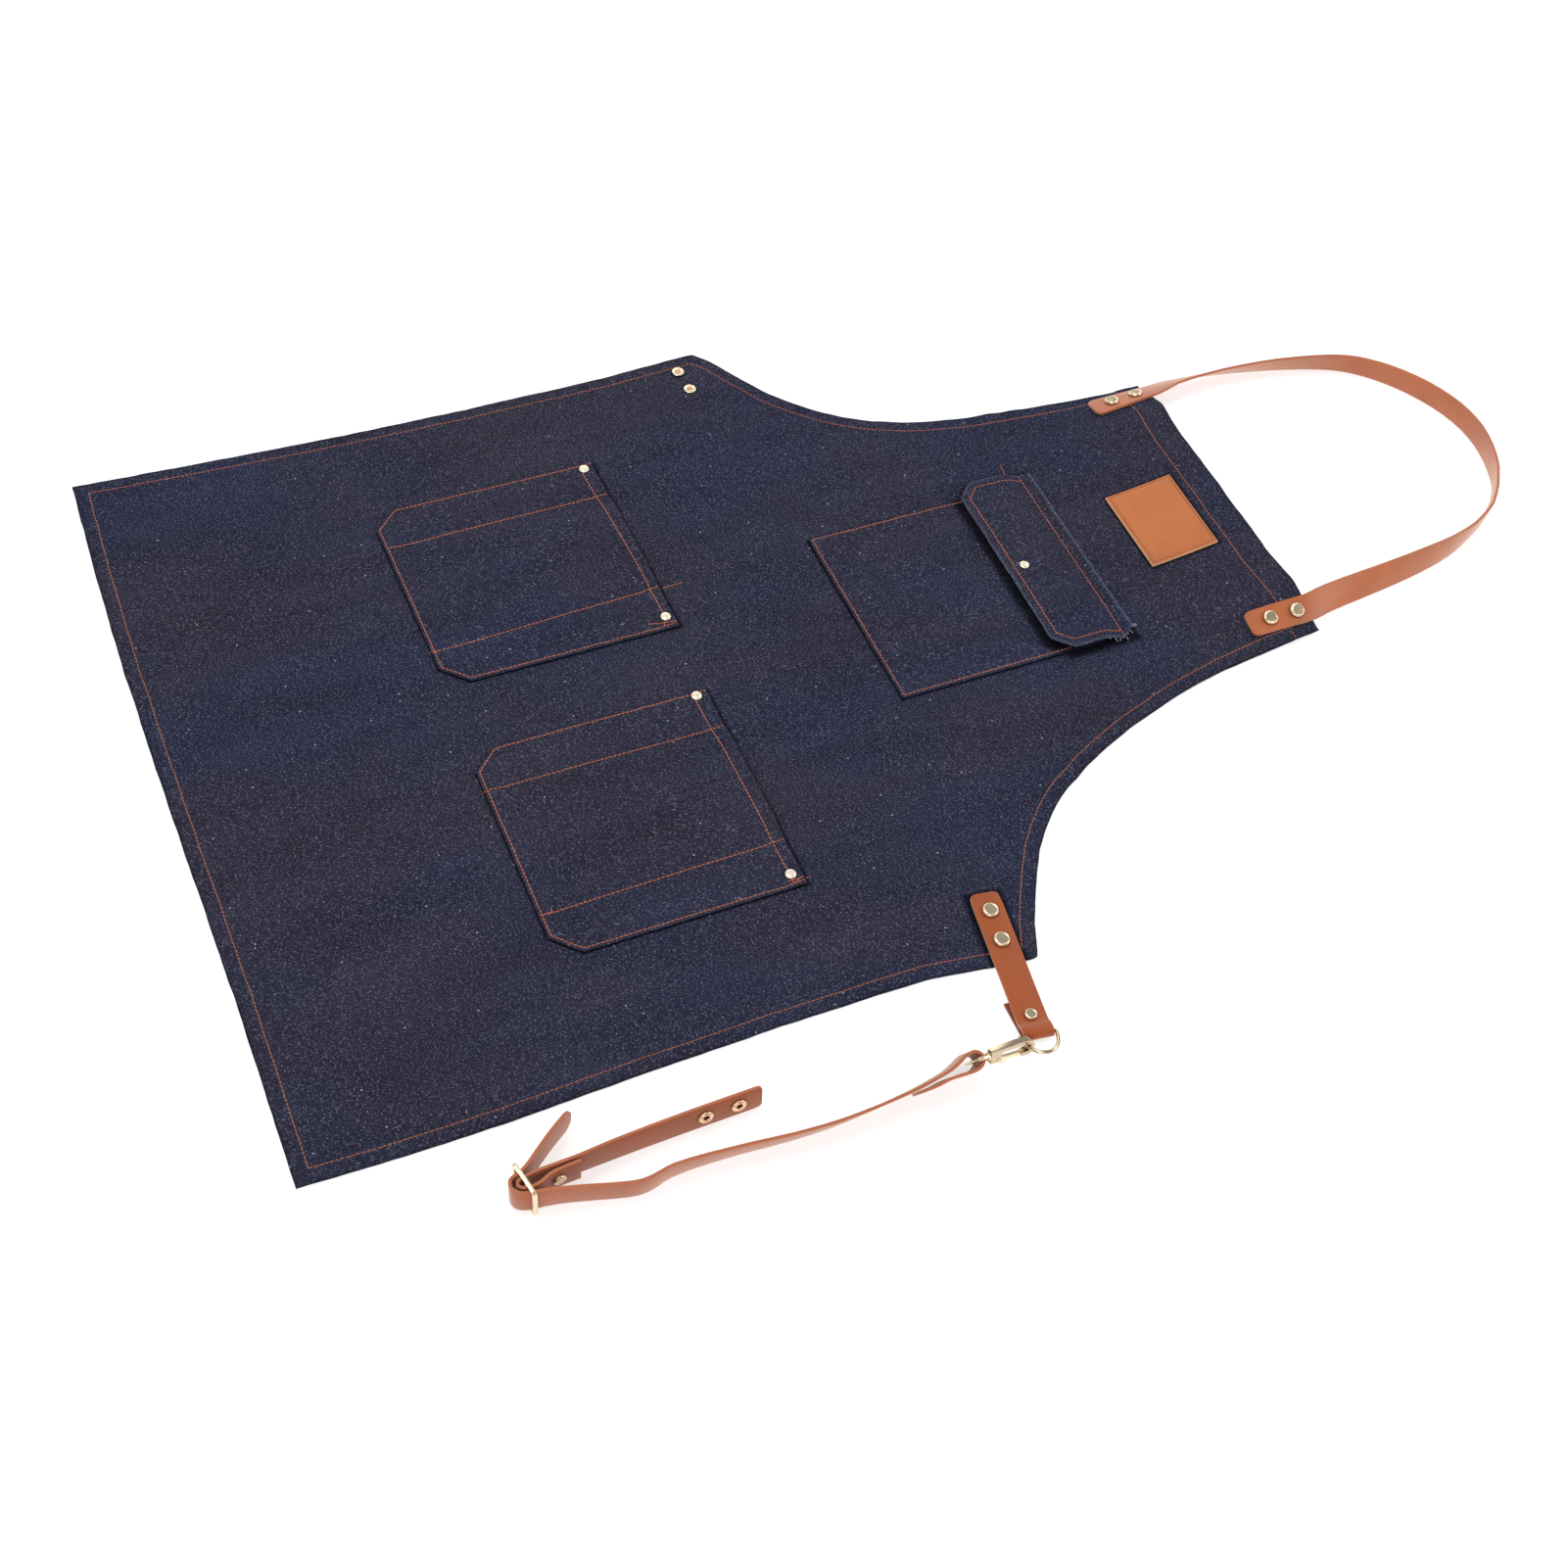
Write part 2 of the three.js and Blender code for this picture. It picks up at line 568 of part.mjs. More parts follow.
// Stations along a strap: a point on its lower edge, the way across it and the way out of its outer face
function strapStations(rows, perRow, roundEnds, { corner, thick }, acrossWay) {
  const points = rows.map((row) => new THREE.Vector3(row.x, row.along, row.height));
  const curve = new THREE.CatmullRomCurve3(points);
  const spans = rows.length - 1;
  const headSpan = points[0].distanceTo(points[1]);
  const endSteps = [0.06, 0.25, 0.6].map((share) => (corner * share) / headSpan / spans);
  const tailSpan = points[spans].distanceTo(points[spans - 1]);
  const tailSteps = [0.6, 0.25, 0.06].map((share) => 1 - (corner * share) / tailSpan / spans);
  const inner = Array.from({ length: spans * perRow + 1 }, (_, i) => i / (spans * perRow));
  const extra = [...(roundEnds.start ? endSteps : []), ...(roundEnds.end ? tailSteps : [])];
  const clear = inner.filter((t) => extra.every((other) => Math.abs(other - t) > 1e-4));
  return [...clear, ...extra].sort((a, b) => a - b).map((t) => {
    const k = Math.min(Math.floor(t * spans), spans - 1);
    const tangent = curve.getTangent(t);
    const across = acrossWay(tangent, rows[k]).lerp(acrossWay(tangent, rows[k + 1]), t * spans - k);
    across.addScaledVector(tangent, -across.dot(tangent)).normalize();
    const out = new THREE.Vector3().crossVectors(tangent, across);
    const sunk = Math.max(-out.z, 0) * thick;
    return { edge: curve.getPoint(t).addScaledVector(UP, sunk), across, out };
  });
}

// How far a rounded corner cuts in at a distance from the strap's end
function cornerCut(distance, corner) {
  const into = Math.max(corner - distance, 0);
  return corner - Math.sqrt(corner * corner - into * into);
}

function strapGeometry(stations, size, roundEnds) {
  const last = stations.length - 1;
  const start = stations[0].edge;
  const end = stations[last].edge;
  const across = 2;
  const place = (i, j, thick) => {
    const { edge: point, across: way, out } = stations[j];
    const fromStart = roundEnds.start ? point.distanceTo(start) : size.corner;
    const fromEnd = roundEnds.end ? point.distanceTo(end) : size.corner;
    const cut = Math.max(cornerCut(fromStart, size.corner), cornerCut(fromEnd, size.corner));
    const reach = cut + (size.width - 2 * cut) * (1 - i / across);
    return point.clone().addScaledVector(way, reach).addScaledVector(out, thick);
  };
  return slab(across, last, (i, j) => place(i, j, size.thick), (i, j) => place(i, j, 0));
}

// The station whose lower edge is nearest a height along the apron, searched from either end of the strap
function stationAt(stations, along, fromEnd) {
  const half = Math.floor(stations.length / 2);
  const part = fromEnd ? stations.slice(half) : stations.slice(0, half);
  const off = (station) => Math.abs(station.edge.y - along);
  const best = part.reduce((a, b) => (off(a) <= off(b) ? a : b));
  const others = part.filter((station) => station !== best);
  const second = others.reduce((a, b) => (off(a) <= off(b) ? a : b));
  const t = (along - best.edge.y) / (second.edge.y - best.edge.y);
  return {
    edge: best.edge.clone().lerp(second.edge, t),
    across: best.across.clone().lerp(second.across, t).normalize(),
    out: best.out.clone().lerp(second.out, t).normalize(),
  };
}

// A strap end lying on the arched bib: its outer edge and the roll that the cloth gives it
function bibRow(middle, along, outward) {
  const reach = (NECK.width / 2) * 0.92;
  const [outer, inner] = [middle + outward * reach, middle - outward * reach];
  const low = hemTop(outer, along);
  const roll = THREE.MathUtils.radToDeg(Math.atan2(hemTop(inner, along) - low, 2 * reach));
  return { x: outer, along, height: low, roll };
}

// Metal caps, turned about their own axis
function turned(profile) {
  const points = profile.map(([radius, height]) => new THREE.Vector2(radius, height));
  return new THREE.LatheGeometry(points, CAP_SIDES).rotateX(Math.PI / 2);
}

function capGeometry({ radius, height }) {
  return turned([
    [0, 0],
    [radius, 0],
    [radius, height * 0.35],
    [radius * 0.72, height * 0.86],
    [0, height],
  ]);
}

function socketGeometry({ radius, height, hole }) {
  return turned([
    [hole, 0],
    [radius, 0],
    [radius, height * 0.4],
    [radius * 0.75, height],
    [hole * 1.25, height],
    [hole, height * 0.7],
    [hole, 0],
  ]);
}

function studGeometry({ radius, height, hole, post, plate }) {
  return turned([
    [0, 0],
    [radius, 0],
    [radius, plate],
    [post, plate],
    [post, height],
    [hole, height],
    [hole, plate],
    [0, plate],
  ]);
}

function addCap(name, geometry, place, outward) {
  const piece = addPiece(name, geometry, gold);
  piece.position.copy(place).addScaledVector(outward, GAP);
  piece.quaternion.setFromUnitVectors(UP, outward);
}

function makeNeckStrap() {
  const ends = [NECK.end, 752, 766, LENGTH + BIB_DRAW.corner + 1];
  const near = ends.map((along) => bibRow(NECK.near, along, 1));
  const far = ends.map((along) => bibRow(NECK.far, along, -1)).reverse();
  const rows = [...near, ...NECK_LOOP, ...far];
  const roundEnds = { start: true, end: true };
  const stations = strapStations(rows, 3, roundEnds, NECK, rolled);
  addPiece("neck_strap", strapGeometry(stations, NECK, roundEnds), leather);
  for (const { name, along, fromEnd } of NECK_CAPS) {
    const { edge: point, across, out } = stationAt(stations, along, fromEnd);
    const place = point.addScaledVector(across, NECK.width / 2).addScaledVector(out, NECK.thick + GAP);
    addCap(name, capGeometry(CAP_LARGE), place, out);
  }
}

function makeSeatedCaps() {
  for (const { name, x, along } of POCKET_CAPS) {
    const place = new THREE.Vector3(x, along, clothTop(x, along) + CLOTH + POCKET.slotPuff);
    addCap(name, capGeometry(CAP_POCKET), place, UP);
  }
  for (const { name, x, along, onHem } of WAIST_STUDS) {
    const seat = onHem ? hemTop(x, along) : clothTop(x, along);
    const place = new THREE.Vector3(x, along, seat - GAP);
    addCap(name, studGeometry(STUD), place, UP);
  }
  const { name, x, along } = FLAP_SNAP;
  const top = clothTop(x, along) + flapStand(along) + FLAP.thick;
  addCap(name, capGeometry(CAP_SNAP), new THREE.Vector3(x, along, top), UP);
}

// Side tab in its own group: x out along the tab, y across it
const tab = new THREE.Group();
tab.position.set(TAB.x, TAB.along, 0);
tab.rotation.z = radians(TAB.heading);
apron.add(tab);

function tabCurve() {
  return new THREE.CatmullRomCurve3(TAB_PROFILE.map(({ out, up }) => new THREE.Vector3(out, 0, up)));
}

function makeTab() {
  const curve = tabCurve();
  const steps = (TAB_PROFILE.length - 1) * 3;
  const across = new THREE.Vector3(0, 1, 0);
  const endShares = [0.05, 0.2, 0.5].map((share) => (TAB.corner * share) / curve.getLength());
  const even = Array.from({ length: steps + 1 }, (_, i) => i / steps);
  const shares = [...even.map((t) => ({ t, point: curve.getPoint(t), tangent: curve.getTangent(t) }))];
  const ends = endShares.map((u) => ({ t: 0, point: curve.getPointAt(u), tangent: curve.getTangentAt(u) }));
  const ordered = [shares[0], ...ends, ...shares.slice(1)];
  const stations = ordered.map(({ point, tangent }) => ({
    edge: point.clone().addScaledVector(across, -TAB.width / 2),
    across,
    out: new THREE.Vector3().crossVectors(tangent, across).normalize(),
  }));
  addPiece("side_tab", strapGeometry(stations, TAB, { start: true, end: false }), leather, tab);
  for (const { name, out, cap } of TAB_CAPS) {
    const piece = addPiece(name, capGeometry(cap), gold, tab);
    const up = TAB_PROFILE.find((row) => row.out >= out).up;
    piece.position.set(out, 0, up + TAB.thick + GAP);
  }
}

// D-shaped ring: a bar across the fold and a bow that tilts up towards the hook
function ringPoint(angle) {
  const tilt = radians(RING.tilt);
  const reach = RING.depth * Math.max(Math.cos(angle), 0);
  const side = RING.half * Math.sin(angle);
  return new THREE.Vector3(RING.out + reach * Math.cos(tilt), side, RING.up + reach * Math.sin(tilt));
}

function makeRing() {
  const bow = Array.from({ length: 17 }, (_, i) => ringPoint(Math.PI * (i / 16 - 0.5)));
  const bar = [0.6, 0.2, -0.2, -0.6].map((share) => new THREE.Vector3(RING.out, RING.half * share, RING.up));
  addPiece("d_ring", wireLoop([...bow, ...bar], RING.wire, 8), gold, tab);
}

// Snap hook group: y along the hook from its swivel to the ring, z through its thickness
function hookGroup() {
  tab.updateMatrix();
  const angle = radians(RING.hookedAt);
  const hooked = ringPoint(angle).applyMatrix4(tab.matrix);
  const beside = ringPoint(angle + 0.02).applyMatrix4(tab.matrix);
  const wire = beside.sub(hooked).normalize();
  const swivel = new THREE.Vector3(SWIVEL.x, SWIVEL.along, SWIVEL.up);
  const axis = hooked.clone().sub(swivel);
  const length = axis.length();
  axis.normalize();
  const through = wire.addScaledVector(axis, -wire.dot(axis)).normalize();
  const side = new THREE.Vector3().crossVectors(axis, through);
  const group = new THREE.Group();
  group.position.copy(swivel);
  group.quaternion.setFromRotationMatrix(new THREE.Matrix4().makeBasis(side, axis, through));
  apron.add(group);
  return { group, length };
}

function extruded(shape, thick) {
  const geometry = new THREE.ExtrudeGeometry(shape, { depth: thick, bevelEnabled: false, curveSegments: 8 });
  return geometry.translate(0, 0, -thick / 2);
}

function pinGeometry(radius, length, x, y) {
  return new THREE.CylinderGeometry(radius, radius, length, 10).rotateX(Math.PI / 2).translate(x, y, 0);
}

function makeHook() {
  const { group, length } = hookGroup();
  const bowY = length - HOOK.bowInner + RING.wire + HOOK.play;
  const [left, right] = [-HOOK.half, HOOK.half];
  const shape = new THREE.Shape();
  shape.moveTo(left, HOOK.base);
  shape.lineTo(right, HOOK.base);
  shape.lineTo(right, HOOK.baseTop);
  shape.lineTo(left + HOOK.spine, HOOK.baseTop);
  shape.lineTo(-HOOK.bowInner, bowY);
  shape.absarc(0, bowY, HOOK.bowInner, Math.PI, 0, true);
  shape.lineTo(HOOK.bowInner, bowY - HOOK.noseDrop);
  shape.lineTo(HOOK.bowOuter, bowY - HOOK.noseDrop);
  shape.lineTo(HOOK.bowOuter, bowY);
  shape.absarc(0, bowY, HOOK.bowOuter, 0, Math.PI, false);
  shape.closePath();
  const far = HOOK.half + 2;
  const slotLow = [0, HOOK.slotFrom, -HOOK.slot / 2];
  const slot = block(slotLow, [far, HOOK.baseTop + 0.4, HOOK.slot / 2]);
  const bore = new THREE.CylinderGeometry(HOOK.boreRadius, HOOK.boreRadius, 2 * HOOK.boreDepth, 12);
  bore.translate(0, HOOK.base, 0);
  const pinHole = pinGeometry(HOOK.pinHole, HOOK.thick + 2, HOOK.pivotX, HOOK.pivotY);
  const body = [slot, bore, pinHole].reduce(
    (solid, cut) => solid.subtract(solidOf(cut)),
    solidOf(extruded(shape, HOOK.thick)),
  );
  addPiece("hook_body", geometryOf(body), gold, group);
  makeGate(group, bowY - HOOK.noseDrop - GAP);
  makeEye(group.quaternion);
}

// Sprung gate: a bar on a pin between the base's cheeks, with a thumb nub, closing against the nose
function makeGate(group, top) {
  const shape = new THREE.Shape();
  shape.moveTo(GATE.inner, HOOK.pivotY);
  shape.lineTo(GATE.outer - 0.9, HOOK.pivotY);
  shape.lineTo(GATE.outer, GATE.nubFrom - 1);
  shape.lineTo(GATE.outer + GATE.nub, GATE.nubFrom);
  shape.lineTo(GATE.outer + GATE.nub, GATE.nubTo - 1.5);
  shape.lineTo(GATE.outer, GATE.nubTo);
  shape.lineTo(GATE.outer, top);
  shape.lineTo(GATE.inner, top);
  shape.closePath();
  const foot = pinGeometry(GATE.foot, GATE.thick, HOOK.pivotX, HOOK.pivotY);
  const pin = pinGeometry(GATE.pin, HOOK.thick + 0.6, HOOK.pivotX, HOOK.pivotY);
  const gate = [foot, pin].reduce(
    (solid, piece) => solid.add(solidOf(piece)),
    solidOf(extruded(shape, GATE.thick)),
  );
  addPiece("hook_gate", geometryOf(gate), gold, group);
}

// Swivel loop: a wire frame round the strap's fold, with a collar and a stem in the hook's base
function makeEye(hookTurn) {
  const eye = new THREE.Group();
  eye.position.set(SWIVEL.x, SWIVEL.along, SWIVEL.up);
  eye.rotation.y = radians(SWIVEL.lean);
  apron.add(eye);
  const turn = eye.quaternion.clone().invert().multiply(hookTurn);
  const [back, neck] = [-EYE.length, -EYE.collarHeight];
  const corners = [
    [back, -EYE.half],
    [back, 0],
    [back, EYE.half],
    [-EYE.arm, EYE.half],
    [neck * 1.7, EYE.neck],
    [neck, 0],
    [neck * 1.7, -EYE.neck],
    [-EYE.arm, -EYE.half],
  ];
  const rounded = new THREE.CatmullRomCurve3(
    corners.map(([y, z]) => new THREE.Vector3(0, y, z)),
    true,
    "catmullrom",
    0.12,
  );
  const wire = wireLoop(rounded.getPoints(32).slice(0, -1), EYE.wire, 6);
  const collar = new THREE.CylinderGeometry(EYE.collar, EYE.collar, EYE.collarHeight, 12);
  collar.translate(0, -EYE.collarHeight / 2 + HOOK.base - GAP, 0);
  const stem = new THREE.CylinderGeometry(EYE.stem, EYE.stem, HOOK.boreDepth + 1, 10);
  stem.translate(0, HOOK.base + HOOK.boreDepth / 2 - 0.9, 0);
  const [turnedCollar, turnedStem] = [collar, stem].map((piece) => piece.applyQuaternion(turn));
  const joined = solidOf(wire).add(solidOf(turnedCollar)).add(solidOf(turnedStem));
  addPiece("hook_eye", geometryOf(joined), gold, eye);
}

// Waist strap and short buckle strap, each cut open where the prong passes
function prongCut(low, high) {
  const middle = BUCKLE.foot + BUCKLE.height / 2;
  const half = PRONG.height / 2 + PRONG.play;
  return solidOf(block([...low, middle - half], [...high, middle + half]));
}

function makeBelt() {
  const roundEnds = { start: false, end: true };
  const stations = strapStations(BELT_PATH, 3, roundEnds, BELT, leaning);
  const cut = prongCut([340.5, BUCKLE.along - 0.7], [347, BUCKLE.along + 2.3]);
  const strap = solidOf(strapGeometry(stations, BELT, roundEnds)).subtract(cut);
  addPiece("waist_strap", geometryOf(strap), leather);
}

function makeBuckleStrap() {
  const roundEnds = { start: true, end: false };
  const stations = strapStations(BUCKLE_STRAP_PATH, 3, roundEnds, BUCKLE_BELT, leaning);
  const cut = prongCut([346, BUCKLE.along - 6.5], [357, BUCKLE.along + 4.4]);
  const strap = solidOf(strapGeometry(stations, BUCKLE_BELT, roundEnds)).subtract(cut);
  addPiece("buckle_strap", geometryOf(strap), leather);
  for (const { name, along } of STRAP_SOCKETS) {
    const { edge: point, across, out } = stationAt(stations, along, false);
    addCap(name, socketGeometry(SOCKET), point.addScaledVector(across, BELT.width / 2), out.negate());
  }
  const fold = stationAt(stations, FOLD_RIVET_ALONG, true);
  const place = fold.edge.addScaledVector(fold.across, BELT.width / 2).addScaledVector(fold.out, BELT.thick);
  addCap("buckle_fold_rivet", capGeometry(CAP_SMALL), place, fold.out);
}

function roundedRect(path, left, low, right, high, radius) {
  path.moveTo(left + radius, low);
  path.lineTo(right - radius, low);
  path.absarc(right - radius, low + radius, radius, -Math.PI / 2, 0, false);
  path.lineTo(right, high - radius);
  path.absarc(right - radius, high - radius, radius, 0, Math.PI / 2, false);
  path.lineTo(left + radius, high);
  path.absarc(left + radius, high - radius, radius, Math.PI / 2, Math.PI, false);
  path.lineTo(left, low + radius);
  path.absarc(left + radius, low + radius, radius, Math.PI, 1.5 * Math.PI, false);
  return path;
}

function makeBuckle() {
  const half = BUCKLE.length / 2;
  const [low, high] = [BUCKLE.foot, BUCKLE.foot + BUCKLE.height];
  const { bar, corner } = BUCKLE;
  const shape = roundedRect(new THREE.Shape(), -half, low, half, high, corner);
  for (const side of [-1, 1]) {
    const [inner, outer] = [bar / 2, half - bar];
    const [left, right] = side < 0 ? [-outer, -inner] : [inner, outer];
    shape.holes.push(roundedRect(new THREE.Path(), left, low + bar, right, high - bar, 0.8));
  }
  const options = { depth: BUCKLE.depth, bevelEnabled: false, curveSegments: 4 };
  const frame = new THREE.ExtrudeGeometry(shape, options);
  frame.translate(0, 0, -BUCKLE.depth / 2);
  frame.rotateX(Math.PI / 2);
  const buckle = new THREE.Group();
  buckle.position.set(BUCKLE.middle, BUCKLE.along, 0);
  buckle.rotation.z = radians(BUCKLE.turn);
  apron.add(buckle);
  addPiece("buckle_frame", frame, gold, buckle);

  const restY = BUCKLE.depth / 2 + GAP;
  const tip = -half - 0.6;
  const prong = new THREE.Shape();
  const from = Math.asin(restY / PRONG.ringOuter);
  prong.moveTo(tip, restY);
  prong.lineTo(-Math.sqrt(PRONG.ringOuter ** 2 - restY ** 2), restY);
  prong.absarc(0, 0, PRONG.ringOuter, Math.PI - from, 2.5 * Math.PI, false);
  prong.lineTo(-2, PRONG.ringOuter);
  prong.lineTo(tip + 1, restY + PRONG.shank);
  prong.closePath();
  const hole = new THREE.Path();
  hole.absarc(0, 0, PRONG.ringInner, 0, 2 * Math.PI, true);
  prong.holes.push(hole);
  const pin = extruded(prong, PRONG.height);
  addPiece("buckle_prong", pin, gold, buckle).position.z = (low + high) / 2;
}

makePanel();
makePockets();
makeChestPocket();
makeFlap();
makePatch();
makeNeckStrap();
makeSeatedCaps();
makeTab();
makeRing();
makeHook();
makeBelt();
makeBuckleStrap();
makeBuckle();

const root = new THREE.Group();
root.add(apron);
export default root;
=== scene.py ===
"""Denim work apron laid out flat: its cloth, leather, metal and thread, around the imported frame."""

import math
from functools import reduce

import bmesh
import bpy
import numpy as np
from mathutils import Matrix, Vector, noise
from mathutils.bvhtree import BVHTree
from mathutils.geometry import convex_hull_2d
from mathutils.kdtree import KDTree


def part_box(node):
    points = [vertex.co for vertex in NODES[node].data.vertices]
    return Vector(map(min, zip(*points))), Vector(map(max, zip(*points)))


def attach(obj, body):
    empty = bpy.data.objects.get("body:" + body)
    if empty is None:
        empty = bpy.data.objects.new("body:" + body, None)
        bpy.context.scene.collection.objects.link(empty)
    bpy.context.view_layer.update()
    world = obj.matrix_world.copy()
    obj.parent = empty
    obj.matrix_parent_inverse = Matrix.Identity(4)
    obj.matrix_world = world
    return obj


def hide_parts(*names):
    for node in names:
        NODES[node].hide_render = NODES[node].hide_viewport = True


bl_info = {
    "name": "Denim work apron",
    "version": (1, 0, 0),
    "blender": (4, 5, 0),
    "location": "3D View > Sidebar > Apron",
    "description": "Makes the cloth, leather, metal and thread of a denim work apron",
    "category": "Object",
}

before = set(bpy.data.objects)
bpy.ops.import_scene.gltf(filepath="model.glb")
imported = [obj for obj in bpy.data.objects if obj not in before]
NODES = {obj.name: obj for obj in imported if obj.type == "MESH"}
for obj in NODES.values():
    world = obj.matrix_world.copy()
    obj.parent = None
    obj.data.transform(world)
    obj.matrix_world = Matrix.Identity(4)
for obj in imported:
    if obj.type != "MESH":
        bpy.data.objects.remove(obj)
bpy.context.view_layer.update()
FLOOR = "floor"
UP = Vector((0, 0, 1))
DOWN = Vector((0, 0, -1))

# Camera of the photograph, in the frame's own axes
CAMERA_PLACE = (0.91502, -0.43599, 1.13658)
CAMERA_RIGHT = (0.38733, 0.91943, 0.06800)
CAMERA_UP = (-0.74164, 0.26692, 0.61541)
CAMERA_BACK = (0.54767, -0.28880, 0.78527)
LENS, SENSOR = 50, 36

# Loops of the cloth grid inside an edge, as distances from it
FOLD_LOOPS = (0, 0.0004, 0.0011, 0.0024)
HEM_LOOPS = (*FOLD_LOOPS, 0.0048, 0.0074, 0.0091, 0.0100, 0.0109, 0.0126, 0.0155)
TOP_LOOPS = (*FOLD_LOOPS, 0.0052, 0.0090, 0.0130, 0.0165, 0.0188, 0.0200, 0.0212, 0.0235)
SEAM_LOOPS = (*FOLD_LOOPS, 0.0040, 0.0062, 0.0082, 0.0090, 0.0098, 0.0120)


def tone(red, green, blue):
    """A display colour from 0 to 255 as the linear colour that shaders take."""
    shares = (value / 255 for value in (red, green, blue))
    return tuple(s / 12.92 if s <= 0.04045 else ((s + 0.055) / 1.055) ** 2.4 for s in shares)


def length(name, description, default):
    return bpy.props.FloatProperty(
        name=name, description=description, default=default, min=0, precision=5, unit="LENGTH"
    )


def colour(name, description, default):
    return bpy.props.FloatVectorProperty(
        name=name, description=description, default=default, size=3, min=0, max=1, subtype="COLOR"
    )


class ApronSizes(bpy.types.PropertyGroup):
    """Sizes of the cloth, its seams and the leather's edges"""

    cell: length("Cloth cell", "Width of one cell of the cloth's grid", 0.0037)
    cloth: length("Cloth", "Thickness of one layer of denim", 0.0013)
    hem_thick: length("Hem thickness", "Thickness of the turned and stitched hem", 0.0021)
    hem: length("Hem", "Hem stitch to the edge of the cloth", 0.0100)
    top_hem: length("Top hem", "Stitch of the bib's top hem to its edge", 0.0200)
    waist: length("Waist", "Where the skirt's sides meet the armholes, along the apron", 0.079)
    edge_seam: length("Edge seam", "Stitch along a pocket's sewn edge to that edge", 0.0021)
    flap_cut: length("Flap corner", "Cut of the flap's bottom corners", 0.0130)
    flap_seam: length("Flap seam", "Stitch round the flap to its edge", 0.0066)
    root_seam: length("Root seam", "Stitch that holds the flap to its top edge", 0.0100)
    patch_line: length("Patch line", "Pressed line on the leather patch to its edge", 0.0020)
    stitch: length("Stitch", "From one stitch to the next", 0.0031)
    thread: length("Thread", "Thickness of the pockets' sewing thread", 0.0008)
    hem_thread: length("Hem thread", "Thickness of the hems' sewing thread", 0.0006)
    strap_round: length("Strap edge", "Rounding of the leather straps' edges", 0.0005)
    leaf_slip: length("Leaf slip", "How far the tab's under leaf stands out of line at its end", 0.0030)
    metal_round: length("Metal edge", "Rounding of the metal pieces' edges", 0.00035)


class ApronColours(bpy.types.PropertyGroup):
    """Colours of the cloth, thread, leather and metal"""

    denim: colour("Denim", "Greyer indigo of the cloth", tone(50, 48, 62))
    denim_blue: colour("Blue denim", "Bluer indigo of the cloth", tone(42, 46, 69))
    denim_dark: colour("Dark denim", "Shaded yarn of the cloth", tone(27, 27, 41))
    fleck: colour("Fleck", "Pale weft that shows between the yarns", tone(130, 129, 147))
    lint: colour("Lint", "Bits of lint on the cloth", tone(190, 195, 205))
    # Painted shade: this dark colour goes beside and under the pieces laid on the cloth and along the panel's
    # outer edge
    fresh: colour("Fresh denim", "Unfaded cloth under the folds", tone(9, 9, 16))
    worn: colour("Worn denim", "Rubbed folds and cut edges of the cloth", tone(112, 116, 136))
    thread: colour("Thread", "Copper sewing thread", tone(208, 110, 60))
    strap: colour("Strap leather", "Face of the straps", tone(158, 78, 37))
    # Lighter than the other straps' face: a painted highlight for the glare on the neck strap
    neck: colour("Neck leather", "Face of the neck strap", tone(178, 97, 55))
    strap_edge: colour("Strap edge", "Painted edge of the straps", tone(178, 104, 70))
    patch: colour("Patch leather", "Face of the patch", tone(188, 107, 58))
    patch_edge: colour("Patch edge", "Cut edge of the patch", tone(226, 176, 128))
    yarn: colour("Loose yarn", "Pale yarn at the flap's frayed corner", tone(196, 196, 202))
    metal: colour("Metal", "Pale gold of the hardware", tone(242, 224, 192))
    # A darker copy of the pale gold: painted shade for the darker reflections of the ring, the hook and the
    # rivets' middles
    shaded_metal: colour("Dull metal", "Greyer gold of the ring, hook and rivets' middles", tone(200, 183, 157))
    rose_metal: colour("Rose metal", "Rosy gold of the sockets and the studs' posts", tone(244, 208, 174))
    champagne: colour("Champagne", "Lighter plating of rivets, snap and studs", tone(246, 236, 214))
    # Painted shade: the leather seen down the sockets' holes, in a dark colour
    bore: colour("Bore", "Inside of the snap sockets", tone(70, 34, 18))
    floor: colour("Floor", "Pale studio floor", tone(206, 206, 206))


class Wire:
    """One output socket. Arithmetic on it adds Math nodes to the same material."""

    def __init__(self, finish, socket):
        self.finish = finish
        self.socket = socket

    def math(self, operation, *values):
        return self.finish.node("ShaderNodeMath", {"operation": operation}, dict(enumerate(values)))

    def __add__(self, other):
        return self.math("ADD", self, other)

    def __radd__(self, other):
        return self.math("ADD", other, self)

    def __sub__(self, other):
        return self.math("SUBTRACT", self, other)

    def __rsub__(self, other):
        return self.math("SUBTRACT", other, self)

    def __mul__(self, other):
        return self.math("MULTIPLY", self, other)

    def __rmul__(self, other):
        return self.math("MULTIPLY", other, self)

    def __lt__(self, other):
        return self.math("LESS_THAN", self, other)

    def __gt__(self, other):
        return self.math("GREATER_THAN", self, other)

    def sine(self):
        return self.math("SINE", self)

    def greater(self, other):
        return self.math("MAXIMUM", self, other)

    def between(self, low, high):
        """0 at low and 1 at high, level beyond them."""
        values = {"Value": self, "From Min": low, "From Max": high}
        return self.finish.node("ShaderNodeMapRange", {"clamp": True}, values)


